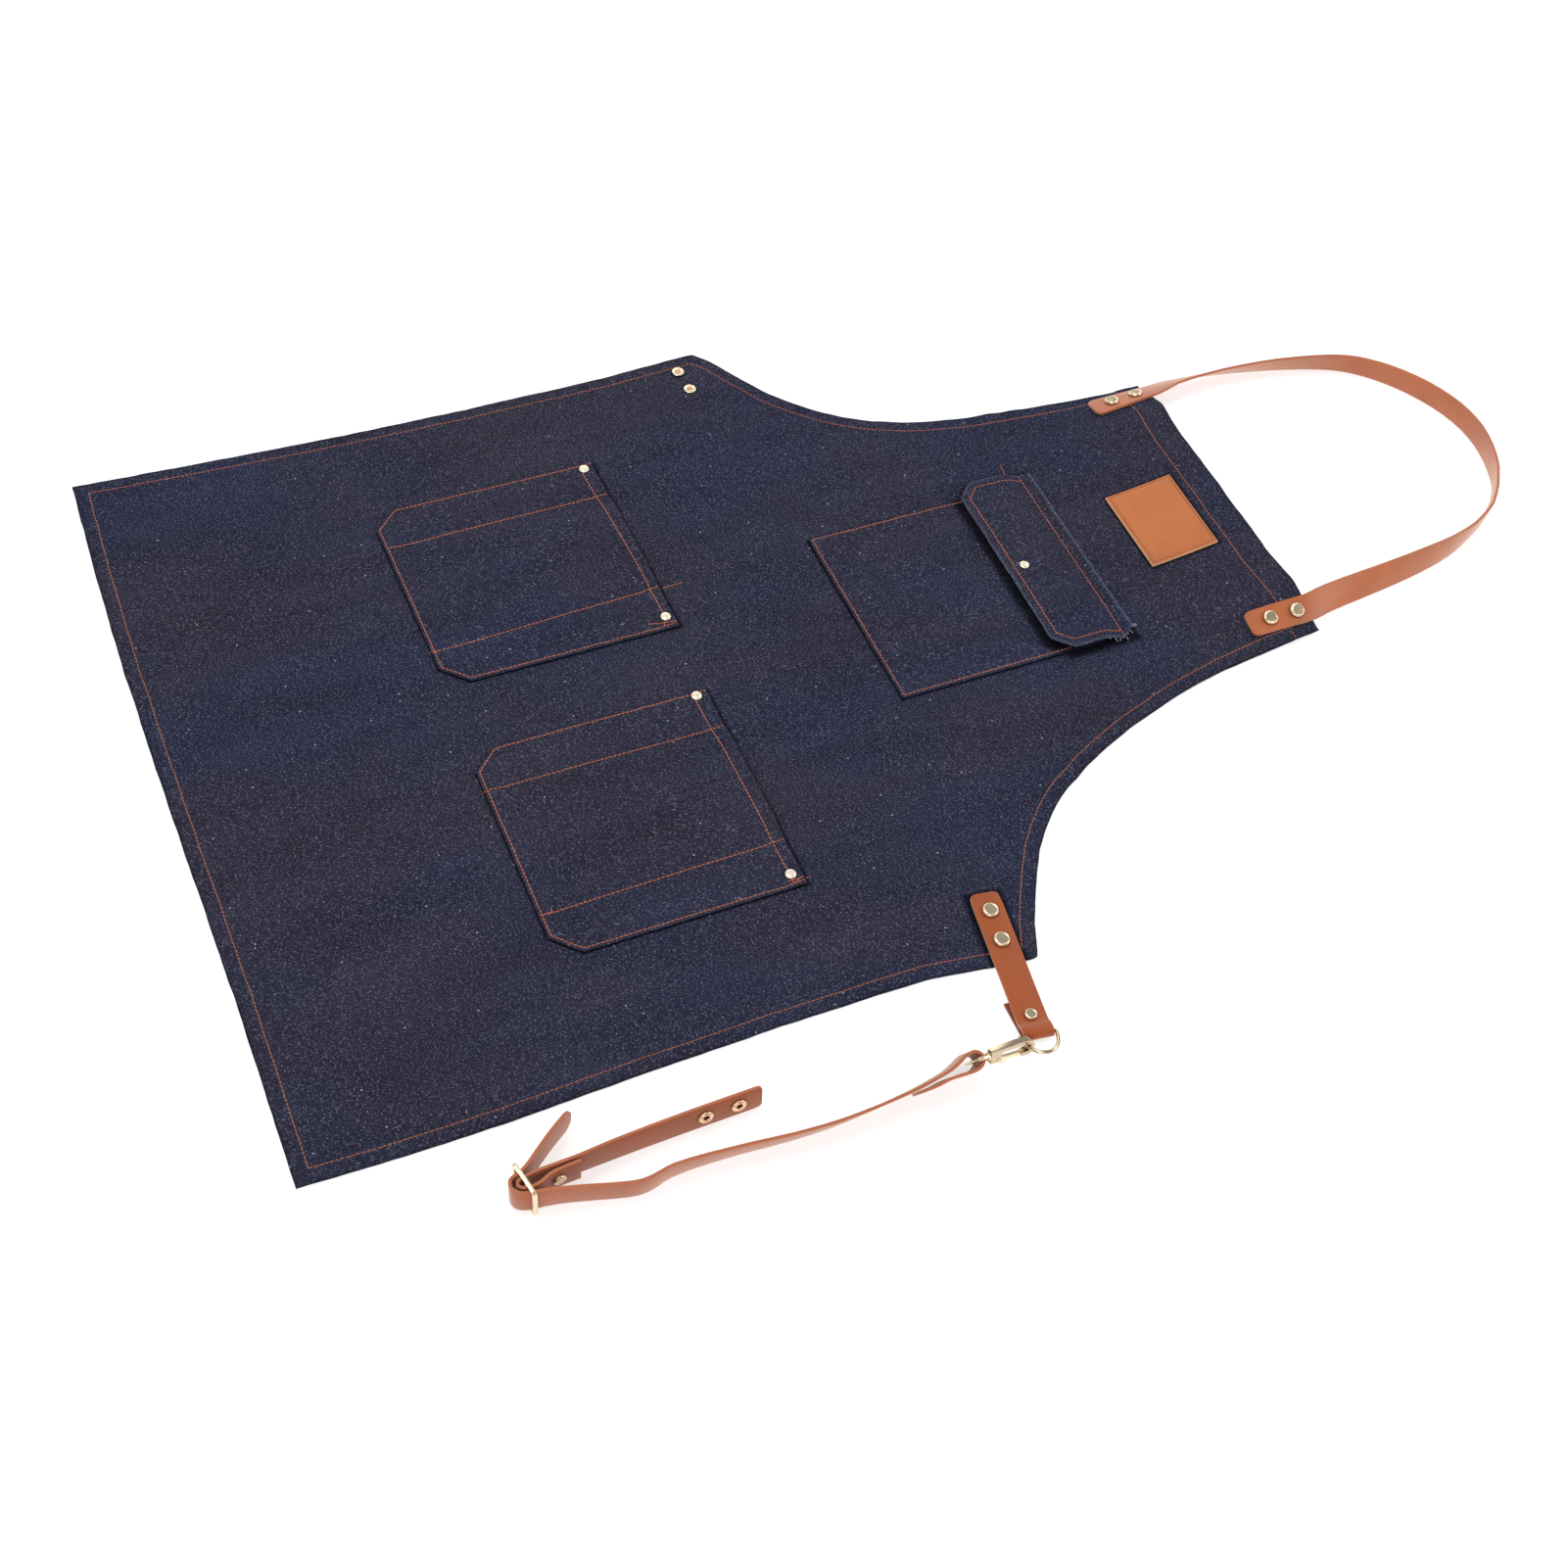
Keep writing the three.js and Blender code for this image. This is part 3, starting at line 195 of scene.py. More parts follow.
class Finish:
    """One material: a Principled surface, and the nodes that feed it."""

    def __init__(self, name, constants):
        self.material = bpy.data.materials.new(name)
        self.material.use_nodes = True
        self.tree = self.material.node_tree
        self.surface = self.tree.nodes["Principled BSDF"]
        for socket, value in constants.items():
            self.surface.inputs[socket].default_value = value
        self.place = self.node("ShaderNodeTexCoord", output="Object")

    def node(self, kind, settings=None, inputs=None, output=0):
        """Any node: its settings first, then the values or links of its sockets."""
        made = self.tree.nodes.new(kind)
        for name, value in (settings or {}).items():
            setattr(made, name, value)
        for socket, value in (inputs or {}).items():
            self.feed(made.inputs[socket], value)
        return Wire(self, made.outputs[output])

    def feed(self, socket, value):
        if isinstance(value, Wire):
            self.tree.links.new(value.socket, socket)
        else:
            socket.default_value = value

    def scaled(self, per_metre, shift=0):
        """Places counted in waves per metre, alike along x, y and z unless it is given three counts."""
        scale = per_metre if isinstance(per_metre, tuple) else (per_metre,) * 3
        values = {"Vector": self.place, "Scale": scale, "Location": (shift,) * 3}
        return self.node("ShaderNodeMapping", {}, values)

    def noise(self, per_metre, detail=2, shift=0):
        """Noise with so many waves per metre."""
        values = {"Vector": self.scaled(per_metre, shift), "Scale": 1, "Detail": detail}
        return self.node("ShaderNodeTexNoise", {}, values)

    def cells(self, per_metre, dimensions="3D"):
        """Distance to the nearest of scattered points, with so many of them per metre."""
        values = {"Vector": self.scaled(per_metre), "Scale": 1}
        return self.node("ShaderNodeTexVoronoi", {"voronoi_dimensions": dimensions}, values)

    def vector(self, operation, first, second, output=0):
        return self.node("ShaderNodeVectorMath", {"operation": operation}, {0: first, 1: second}, output)

    def along(self, way):
        """Distance of a place from the origin along a direction."""
        return self.vector("DOT_PRODUCT", self.place, way, "Value")

    def away(self, point):
        """Distance of a place from a point."""
        return self.vector("DISTANCE", self.place, tuple(point), "Value")

    def apart(self, centre):
        """Distance of a place from an upright line through a centre."""
        flat = self.vector("MULTIPLY", self.place, (1, 1, 0))
        return self.vector("DISTANCE", flat, (centre[0], centre[1], 0), "Value")

    def attribute(self, name):
        return self.node("ShaderNodeAttribute", {"attribute_name": name}, output="Fac")

    def mix(self, first, second, share):
        colours = {0: share, 6: solid_colour(first), 7: solid_colour(second)}
        return self.node("ShaderNodeMix", {"data_type": "RGBA"}, colours, output=2)

    def bump(self, height, distance, strength):
        values = {"Height": height, "Distance": distance, "Strength": strength}
        self.feed(self.surface.inputs["Normal"], self.node("ShaderNodeBump", {}, values))

    def paint(self, socket, value):
        self.feed(self.surface.inputs[socket], value)


def solid_colour(value):
    return value if isinstance(value, Wire) else (*value, 1)


# Sides of a plan shorter than this don't count, and two sides are one past this cosine
SHORT_SIDE = 0.004
SAME_SIDE = 0.985
# Share of its reach within which the painted shade beside a piece is full
FULL_DARK = 0.3


def outline(node):
    """Straight outer edges of a node seen from above: the outward direction and distance of each.

    A round node has none."""
    places = [vertex.co.xy for vertex in NODES[node].data.vertices]
    corners = [places[index] for index in convex_hull_2d(places)]
    middle = sum(corners, Vector((0, 0))) / len(corners)
    sides = sorted(zip(corners, corners[1:] + corners[:1]), key=lambda side: -(side[1] - side[0]).length)
    edges = []
    for start, end in sides:
        out = (end - start).orthogonal().normalized()
        if out.dot(start - middle) < 0:
            out.negate()
        if (end - start).length > SHORT_SIDE and all(out.dot(other) < SAME_SIDE for other, _ in edges):
            edges.append((out, max(out.dot(corner) for corner in corners)))
    return edges


def painted_shade_beside(cloth, shade_casters):
    """Painted shade on the cloth beside the pieces laid on it: 1 under them, 0 past their reach."""
    shares = []
    for node, (beside, above) in shade_casters.items():
        gaps = []
        for out, distance in outline(node):
            reach = beside + (above - beside) * max(out.y, 0)
            gaps.append((cloth.along((*out, 0)) - distance) * (1 / reach))
        if not gaps:
            low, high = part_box(node)
            gaps.append((cloth.apart((low + high) / 2) - (high.x - low.x) / 2) * (1 / beside))
        shares.append(reduce(Wire.greater, gaps).between(1, FULL_DARK))
    uneven = cloth.noise(90, shift=13).between(0.1, 0.6) * 0.35 + 0.65
    return reduce(Wire.greater, shares) * uneven * cloth.attribute("front")


# Direction across the twill's ridges, and the distance from one to the next
TWILL_WAY = (0.62, 1, 0)
TWILL_PITCH = 0.0013
# Places for a bit of lint per metre, and the size of a bit as a share of the distance between them
LINT_BITS, LINT_SIZE = 31, 0.019


def denim_finish(name, colours, shade_casters):
    """Indigo twill: yarns along and across, pale weft flecks, a few bits of lint, rubbed folds, and painted
    shade beside and under the pieces laid on it.
    """
    cloth = Finish(name, {"Specular IOR Level": 0.04})
    warp = cloth.noise((1150, 210, 500), detail=3)
    weft = cloth.noise((210, 1150, 500), detail=3, shift=7)
    grain = cloth.noise(1500, detail=1, shift=3)
    bands = cloth.noise((34, 8, 20), detail=3, shift=5)
    yarn = (warp * 0.42 + weft * 0.33 + grain * 0.25).between(0.38, 0.62)
    ridges = (cloth.along(TWILL_WAY) * (math.tau / TWILL_PITCH)).sine()
    zones = cloth.noise((9, 5, 9), shift=21).between(0.38, 0.62)
    indigo = cloth.mix(colours.denim, colours.denim_blue, zones)
    shade = cloth.mix(colours.denim_dark, indigo, yarn * 0.8 + bands.between(0.32, 0.68) * 0.4)
    fleck = cloth.noise((1160, 680, 1160), detail=1, shift=11).between(0.55, 0.74)
    flecked = cloth.mix(shade, colours.fleck, fleck * 0.5)
    bits = cloth.cells(LINT_BITS, "2D") < LINT_SIZE
    lint = bits * cloth.noise(LINT_BITS, detail=0, shift=2).between(0.5, 0.56)
    speckled = cloth.mix(flecked, colours.lint, lint * 0.5)
    wear = cloth.attribute("wear")
    rubbed = wear.between(0, 1) * cloth.noise(800, shift=9).between(0.38, 0.62)
    worn = cloth.mix(speckled, colours.worn, rubbed * 0.75)
    # Painted shade darkens the cloth towards the fresh colour: where the attribute is below 0, as on
    # undersides and along the panel's outer edge, and beside the pieces laid on it
    fresh = wear.between(0, -1).greater(painted_shade_beside(cloth, shade_casters))
    cloth.paint("Base Color", cloth.mix(worn, colours.fresh, fresh * 0.88))
    cloth.paint("Roughness", 0.98 - yarn * 0.1)
    cloth.bump(yarn * 0.7 + ridges * 0.16 + fleck * 0.5, distance=0.00022, strength=0.8)
    return cloth.material


# How far past a cap's rim the painted shade on the leather reaches
CAP_SHADE_REACH = 0.0011


def painted_shade_round(leather, caps):
    """Painted shade on the leather round the caps set in it: 1 at their rims, 0 past their reach."""
    shares = []
    for node in caps:
        centre, _, radius, _ = seat_of(node)
        shares.append((leather.away(centre) - radius).between(CAP_SHADE_REACH, 0))
    return reduce(Wire.greater, shares)


def leather_finish(name, colours, dye, coat=0.03, caps=()):
    """Smooth coated leather: fine pebbled grain, faint cloudy colour and a soft gloss; darker along a pressed
    line, with painted shade round the caps set in it and on the tab's under leaf.
    """
    face = tuple(getattr(colours, dye))
    gloss = {"Specular IOR Level": 0.18, "Coat Roughness": 0.3}
    sheen = {"Sheen Weight": 0.6, "Sheen Roughness": 0.45, "Sheen Tint": (1, 0.80, 0.66, 1)}
    leather = Finish(name, {**gloss, **sheen})
    cloud = leather.noise(30, detail=3)
    grain = leather.cells(1250)
    pores = leather.noise(2600, shift=4)
    darker = tuple(value * 0.84 for value in face)
    shade = leather.mix(darker, face, cloud.between(0.3, 0.62))
    grained = leather.mix(shade, darker, grain.between(0.5, 0.95) * 0.35)
    # Darker along the patch's pressed line; painted shade on the tab's under leaf and round the caps
    pressed = tuple(value * 0.42 for value in face)
    pressing_and_shade = leather.attribute("wear")
    if caps:
        pressing_and_shade = pressing_and_shade.greater(painted_shade_round(leather, caps))
    leather.paint("Base Color", leather.mix(grained, pressed, pressing_and_shade * 0.8))
    leather.paint("Roughness", 0.40 + cloud * 0.1 + pores * 0.06)
    leather.paint("Coat Weight", coat + cloud * 0.06)
    leather.bump(grain * 0.5 + pores * 0.25, distance=0.00006, strength=0.5)
    return leather.material


def metal_finish(name, colours, plate, metallic=1, rough=0.24):
    """Pale plating with a faint brushed unevenness."""
    plating = tuple(getattr(colours, plate))
    metal = Finish(name, {"Metallic": metallic})
    cloud = metal.noise(160)
    brushed = metal.noise((2400, 500, 2400), shift=6)
    deeper = tuple(value * share for value, share in zip(plating, (0.96, 0.93, 0.86)))
    metal.paint("Base Color", metal.mix(deeper, plating, cloud.between(0.32, 0.66)))
    metal.paint("Roughness", rough + brushed * 0.10 + cloud * 0.06)
    return metal.material


def bore_finish(name, colours):
    """Leather seen down a socket's hole, dull and painted dark as shade."""
    bore = Finish(name, {"Specular IOR Level": 0.1})
    stain = bore.noise(900)
    duller = tuple(value * 0.5 for value in colours.bore)
    bore.paint("Base Color", bore.mix(duller, colours.bore, stain))
    bore.paint("Roughness", 0.8 + stain * 0.15)
    return bore.material


def thread_finish(name, colours, dye):
    """Twisted thread, matt, darker in its twist."""
    face = tuple(getattr(colours, dye))
    thread = Finish(name, {"Specular IOR Level": 0.3, "Sheen Weight": 0.3})
    twist = thread.noise(2200, detail=1)
    tint = thread.noise(70, shift=3)
    darker = tuple(value * 0.62 for value in face)
    share = twist.between(0.3, 0.65) * 0.75 + tint.between(0.3, 0.7) * 0.25
    thread.paint("Base Color", thread.mix(darker, face, share))
    thread.paint("Roughness", 0.65 + twist * 0.2)
    thread.bump(twist, distance=0.0001, strength=0.6)
    return thread.material


# Light of the floor itself, a lit white table
FLOOR_GLOW = 0.6


def floor_finish(name, colours):
    """Plain pale studio floor."""
    floor = Finish(name, {"Specular IOR Level": 0.1, "Emission Strength": FLOOR_GLOW})
    floor.paint("Emission Color", (1, 1, 1, 1))
    tint = floor.noise(2, detail=1)
    duller = tuple(value * 0.985 for value in colours.floor)
    floor.paint("Base Color", floor.mix(duller, colours.floor, tint))
    floor.paint("Roughness", 0.85 + tint * 0.1)
    return floor.material


# Pieces beside which the cloth gets painted shade, and how far it reaches beside them and past their upper
# edges
SHADE_ON_PANEL = {
    "pocket_left": (0.0014, 0.0042),
    "pocket_right": (0.0014, 0.0042),
    "chest_pocket": (0.0019, 0.0019),
    "pocket_flap": (0.0055, 0.0018),
    "leather_patch": (0.0030, 0.0040),
    "side_tab": (0.0048, 0.0048),
    "waist_stud_outer": (0.0018, 0.0018),
    "waist_stud_inner": (0.0018, 0.0018),
}
SHADE_ON_POUCH = {"pocket_flap": (0.0068, 0.0018)}
SHADE_ON_POCKETS = {node: (0.0013, 0.0013) for node in NODES if node.startswith("pocket_") and "rivet" in node}
SHADE_ON_FLAP = {"flap_snap": (0.0010, 0.0010)}
# Caps set in the neck strap, and in the tab and the waist straps, with painted shade round them
SHADE_ON_NECK = [node for node in NODES if node.startswith("neck_rivet")]
SHADE_ON_STRAPS = [node for node in NODES if node.startswith(("tab_", "strap_socket", "buckle_fold"))]

# Each finish's maker and the settings that it is given
FINISHES = {
    "panel_denim": (denim_finish, {"shade_casters": SHADE_ON_PANEL}),
    "pouch_denim": (denim_finish, {"shade_casters": SHADE_ON_POUCH}),
    "pocket_denim": (denim_finish, {"shade_casters": SHADE_ON_POCKETS}),
    "flap_denim": (denim_finish, {"shade_casters": SHADE_ON_FLAP}),
    "cognac_strap": (leather_finish, {"dye": "strap", "caps": SHADE_ON_STRAPS}),
    # The neck strap's lighter dye is a painted highlight for the glare on it
    "cognac_neck": (leather_finish, {"dye": "neck", "coat": 0.4, "caps": SHADE_ON_NECK}),
    "cognac_edge": (leather_finish, {"dye": "strap_edge"}),
    "tan_patch": (leather_finish, {"dye": "patch"}),
    "tan_edge": (leather_finish, {"dye": "patch_edge"}),
    "pale_gold": (metal_finish, {"plate": "metal"}),
    # Darker copies of the pale gold: painted shade for the darker reflections of the rivets' middles, the
    # ring and the hook
    "dull_gold": (metal_finish, {"plate": "shaded_metal", "rough": 0.1}),
    "warm_gold": (metal_finish, {"plate": "shaded_metal", "rough": 0.2}),
    "rose_gold": (metal_finish, {"plate": "rose_metal"}),
    "champagne": (metal_finish, {"plate": "champagne", "metallic": 0.55}),
    "dark_bore": (bore_finish, {}),
    "copper_thread": (thread_finish, {"dye": "thread"}),
    "loose_yarn": (thread_finish, {"dye": "yarn"}),
    "pale_floor": (floor_finish, {}),
}


def finish(name):
    """A finish by name, made on its first use."""
    maker, settings = FINISHES[name]
    return bpy.data.materials.get(name) or maker(name, bpy.context.scene.apron_colours, **settings)


def placed(data, name, finishes):
    """A mesh as a smooth shown object with its finishes."""
    for each in finishes:
        data.materials.append(finish(each))
    data.shade_smooth()
    piece = bpy.data.objects.new(name, data)
    bpy.context.scene.collection.objects.link(piece)
    return piece


def show(mesh, name, finishes, sharp=math.pi):
    """Turns a bmesh into a shown object with its finishes."""
    data = bpy.data.meshes.new(name)
    mesh.to_mesh(data)
    mesh.free()
    piece = placed(data, name, finishes)
    data.set_sharp_from_angle(angle=sharp)
    return piece


def stand_for(piece, node, body="apron"):
    """The piece takes a node's place on its body, and the node is hidden."""
    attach(piece, body)
    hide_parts(node)
    return piece


# How far below the upper face an end is met, and how far inside the box that face is looked for
END_DEPTH = 0.0006
NEAR_END = 0.006
# Share of a plan's spread at which heights are read
READ_SHARE = 0.9985


class Solid:
    """A node's solid, for finding where its faces lie."""

    def __init__(self, node):
        data = NODES[node].data
        corners = [vertex.co for vertex in data.vertices]
        self.tree = BVHTree.FromPolygons(corners, [face.vertices for face in data.polygons])
        self.low, self.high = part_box(node)

    def hit(self, start, way):
        return self.tree.ray_cast(Vector(start), Vector(way))[0]

    def height(self, x, y, way):
        """Height of the face met by going up or down at x, y, or of the nearest face."""
        start = Vector((x, y, -way.z))
        found = self.tree.ray_cast(start, way)[0]
        return (found or self.tree.find_nearest(Vector((x, y, self.high.z)))[0]).z

    def end(self, x, y, way):
        """Where the solid begins along y at x, going up (1) or down (-1) to its face near y."""
        level = self.height(x, y, DOWN) - END_DEPTH
        return self.hit((x, -way, level), (0, way, 0)).y

    def heights(self, plan, way, passes):
        """Levelled heights over a plan, read a little inside its rim so that every place meets the solid."""
        middle = plan.reshape(-1, 2).mean(0)
        inside = middle + (plan - middle) * READ_SHARE
        return levelled(np.array([[self.height(x, y, way) for x, y in row] for row in inside]), passes)


def levelled(heights, passes):
    """Heights averaged with their neighbours, so that the solid's facets don't show."""
    for _ in range(passes):
        wide = np.pad(heights, 1, mode="edge")
        around = wide[:-2, 1:-1] + wide[2:, 1:-1] + wide[1:-1, :-2] + wide[1:-1, 2:]
        heights = heights * 0.5 + around * 0.125
    return heights


def ripple(plan, size, seed):
    """Smooth unevenness from -1 to 1 with the given size, over a plan."""
    return np.array([[noise.noise((x / size, y / size, seed)) for x, y in row] for row in plan])


def waves(plan, rows):
    """Heights of several ripples over a plan, from the size, height and seed of each."""
    return sum(ripple(plan, size, seed) * height for size, height, seed in rows)


def swayed(plan, rows):
    """A plan with its lines swaying a little, from the size, reach and two seeds of each ripple."""
    for size, reach, seeds in rows:
        plan = plan + np.stack([ripple(plan, size, seed) for seed in seeds], axis=2) * reach
    return plan


def bell(values, middle, width):
    """1 at the middle, falling softly to 0 on both sides."""
    return np.exp(-(((values - middle) / width) ** 2))


def ease(values, low, high):
    """0 at low and 1 at high with soft ends; low may be the greater."""
    share = np.clip((values - low) / (high - low), 0, 1)
    return share * share * (3 - 2 * share)


def spread(low, high, low_loops, high_loops, count):
    """Places from low to high: close loops inside each end and even ones between."""
    first, last = np.array(low_loops), np.array(high_loops)
    middle = np.linspace(low + first[-1], high - last[-1], count + 2)[1:-1]
    return np.concatenate([low + first, middle, (high - last)[::-1]])


RIMS = {
    "low": (0, slice(None)),
    "high": (-1, slice(None)),
    "left": (slice(None), 0),
    "right": (slice(None), -1),
}
SEWN_RIMS = ("low", "left", "right")


def rim_line(plan, rim, finer=4):
    """One side of a plan as a line of close points."""
    line = plan[RIMS[rim]]
    at = np.linspace(0, len(line) - 1, (len(line) - 1) * finer + 1)
    return np.stack([np.interp(at, np.arange(len(line)), line[:, axis]) for axis in (0, 1)], axis=1)


def tree_through(points):
    tree = KDTree(len(points))
    for index, (x, y) in enumerate(points):
        tree.insert((x, y, 0), index)
    tree.balance()
    return tree


def distances(plan, tree):
    """Distance of every place of a plan to the nearest point of a tree."""
    return np.array([[tree.find((x, y, 0))[2] for x, y in row] for row in plan])


def rim_tree(plan, rims):
    return tree_through(np.concatenate([rim_line(plan, rim) for rim in rims]))


def rim_distance(plan, rims):
    """Distance of every place of a plan to the named sides."""
    return distances(plan, rim_tree(plan, rims))


def seam_distance(plan, lines):
    """Distance of every place of a plan to the nearest seam."""
    return distances(plan, tree_through(np.concatenate([resampled(line, SEAM_STEP) for line in lines])))


def fold_round(distance, radius=0.0012):
    """Share of the full thickness that a folded edge has at a distance from it."""
    near = 1 - np.clip(distance / radius, 0, 1)
    return np.sqrt(1 - near * near)


def sheet_mesh(plan, upper, lower, wear, under_shade=0):
    """A closed sheet from a plan, its upper and lower heights, and its wear and painted shade at each place.

    Rubbed cloth is given up to 1; painted shade, as given to the underside, down to -1."""
    rows, columns = (count - 1 for count in wear.shape)
    mesh = bmesh.new()
    # This layer holds rubbed wear above 0 and painted shade below 0
    rubbed = mesh.verts.layers.float.new("wear")
    front = mesh.verts.layers.float.new("front")
    bmesh.ops.create_grid(mesh, x_segments=columns, y_segments=rows, size=1)
    doubled = bmesh.ops.extrude_face_region(mesh, geom=mesh.faces[:])["geom"]
    under = {part for part in doubled if isinstance(part, bmesh.types.BMVert)}
    for vert in mesh.verts:
        i = round((vert.co.x + 1) / 2 * columns)
        j = round((vert.co.y + 1) / 2 * rows)
        below = vert in under
        vert[rubbed] = under_shade if below else wear[j, i]
        vert[front] = not below
        vert.co = (*plan[j, i], (lower if below else upper)[j, i])
    bmesh.ops.recalc_face_normals(mesh, faces=mesh.faces[:])
    return mesh


def flat_area(plan):
    """Area of a plan, from its outline."""
    low, right, high, left = (rim_line(plan, rim) for rim in ("low", "right", "high", "left"))
    x, y = np.concatenate([low, right, high[::-1], left[::-1]]).T
    return abs(float(np.sum(x * np.roll(y, -1) - y * np.roll(x, -1)))) / 2


def lay_sheet(plan):
    """Works out a cloth piece's flat size and area, which nothing uses."""
    corners = plan.reshape(-1, 2)
    size = corners.max(0) - corners.min(0)
    area = min(flat_area(plan), float(size[0] * size[1]))


# Sewing

# One stitch: its sides and rings, how flat it is and how deep its ends go
STITCH_SIDES = 6
STITCH_RINGS = 4
STITCH_FLAT = 0.8
STITCH_DIP = 0.55
# Shares: half its length of the pitch, its rise of its radius, and a tack's pitch of the usual one
STITCH_HALF = 0.48
STITCH_RISE = 0.25
TACK_SHARE = 0.55
# Step of the points along a seam from which distances are taken
SEAM_STEP = 0.0008


def stitch_shape():
    """One stitch along x from -1 to 1, a small ball whose ends dip into the cloth: its points and faces."""
    mesh = bmesh.new()
    bmesh.ops.create_uvsphere(mesh, u_segments=STITCH_SIDES, v_segments=STITCH_RINGS, radius=1)
    lying = Matrix.Rotation(math.pi / 2, 3, "Y")
    bmesh.ops.rotate(mesh, cent=(0, 0, 0), matrix=lying, verts=mesh.verts[:])
    mesh.verts.index_update()
    points = np.array([vert.co for vert in mesh.verts])
    faces = [[vert.index for vert in face.verts] for face in mesh.faces]
    mesh.free()
    points[:, 2] = points[:, 2] * STITCH_FLAT - points[:, 0] ** 4 * STITCH_DIP
    return points, faces


def resampled(line, step):
    """A line's points at even steps, and whole steps in all."""
    line = np.asarray(line, float)
    spans = np.linalg.norm(np.diff(line, axis=0), axis=1)
    reach = np.concatenate([[0], np.cumsum(spans)])
    count = max(round(reach[-1] / step), 1)
    at = np.linspace(0, reach[-1], count + 1)
    return np.stack([np.interp(at, reach, line[:, axis]) for axis in (0, 1)], axis=1)


def meet(trees, place, way):
    """First face met from far off, going the given way over a place: its point and outward normal."""
    start = Vector((place[0], place[1], -way.z))
    hits = [hit for hit in (tree.ray_cast(start, way) for tree in trees) if hit[0]]
    if not hits:
        return None
    point, normal, _, _ = min(hits, key=lambda hit: hit[3])
    return point, normal if normal.dot(way) < 0 else -normal


class Bundle:
    """Many small shapes gathered into one piece."""

    def __init__(self):
        self.points = []
        self.polygons = []

    def add(self, points, faces):
        first = len(self.points)
        self.polygons += [tuple(first + corner for corner in face) for face in faces]
        self.points += points.tolist()

    def show(self, name, dye):
        data = bpy.data.meshes.new(name)
        data.from_pydata(self.points, [], self.polygons)
        piece = placed(data, name, [dye])
        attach(piece, "apron")
        return piece


def seam(bundle, trees, lines, pitch, thread, way=DOWN):
    """Adds stitches along plan lines, each lying on the first face met by going the given way."""
    shape, faces = stitch_shape()
    radius = thread / 2
    for line in lines:
        places = resampled(line, pitch)
        for start, end in zip(places, places[1:]):
            met = [meet(trees, place, way) for place in (start, (start + end) / 2, end)]
            if None in met:
                continue
            along = met[2][0] - met[0][0]
            half = along.length * STITCH_HALF
            along.normalize()
            middle, out = met[1]
            side = out.cross(along).normalized()
            basis = np.array([along * half, side * radius, out * radius])
            bundle.add(shape @ basis + np.array(middle + out * radius * STITCH_RISE), faces)


def sew(name, trees, seams):
    """One piece of thread for all the seams of a cloth piece."""
    bundle = Bundle()
    for each in seams:
        seam(bundle, trees, **each)
    return bundle.show(name, "copper_thread")


def stitches(lines, sizes):
    return {"lines": lines, "pitch": sizes.stitch, "thread": sizes.thread}


def hem_stitches(lines, sizes, way):
    return {"lines": lines, "pitch": sizes.stitch, "thread": sizes.hem_thread, "way": way}


def tacks(lines, sizes):
    """Short crowded stitches."""
    return {"lines": lines, "pitch": sizes.stitch * TACK_SHARE, "thread": sizes.thread}


def tree_of(name):
    return BVHTree.FromObject(bpy.data.objects[name], bpy.context.evaluated_depsgraph_get())


def inset(line, distance, tree, clear):
    """A line moved to its left by a distance, kept where it is that clear of every rim."""
    way = np.gradient(np.asarray(line, float), axis=0)
    way /= np.linalg.norm(way, axis=1)[:, None]
    moved = line + np.stack([-way[:, 1], way[:, 0]], axis=1) * distance
    kept = [point for point in moved if tree.find((point[0], point[1], 0))[2] > clear]
    return np.array(kept)


# The denim panel

# Half its length, the height at which its edges are read, and for sides, hem and bib how many readings
# there are and how far inside the corners they start
HALF_LENGTH = 0.395
EDGE_LEVEL = 0.001
SIDE_READINGS, SIDE_INSET = 520, 0.0008
HEM_READINGS, HEM_INSET = 80, 0.012
BIB_READINGS, BIB_INSET = 60, 0.001
# The armholes' tight lower stretch, its rows, and the most that a slanting side widens the hem's loops
ARMHOLE, ARMHOLE_ROWS = 0.05, 26
WIDEST = 2.2
# How far in from the hem and from the bib's top the cloth follows the lines of its ends
HEM_DRAW, BIB_DRAW = 0.18, 0.15


def panel_plan(solid, sizes):
    """Places of the panel's grid, from the solid's own edges."""
    low, high = -HALF_LENGTH, HALF_LENGTH
    along = np.linspace(low + SIDE_INSET, high - SIDE_INSET, SIDE_READINGS)
    far = np.array([solid.hit((-1, y, EDGE_LEVEL), (1, 0, 0)).x for y in along])
    near = np.array([solid.hit((1, y, EDGE_LEVEL), (-1, 0, 0)).x for y in along])
    armhole = sizes.waist + ARMHOLE
    rows = np.concatenate([
        spread(low, sizes.waist, HEM_LOOPS, (0,), round((sizes.waist - low) / sizes.cell)),
        np.linspace(sizes.waist, armhole, ARMHOLE_ROWS)[1:],
        spread(armhole, high, (0,), TOP_LOOPS, round((high - sizes.waist) / sizes.cell))[1:],
    ])
    slant = np.minimum(np.hypot(1, np.gradient(near, along)), WIDEST)
    count = round((near[0] - far[0]) / sizes.cell) - 2 * len(HEM_LOOPS)
    plan = []
    for y in rows:
        left, right = np.interp(y, along, far), np.interp(y, along, near)
        loops = np.array(HEM_LOOPS) * np.interp(y, along, slant)
        plan.append([(x, y) for x in spread(left, right, loops, loops, count)])
    return drawn(np.array(plan), solid, low, high)


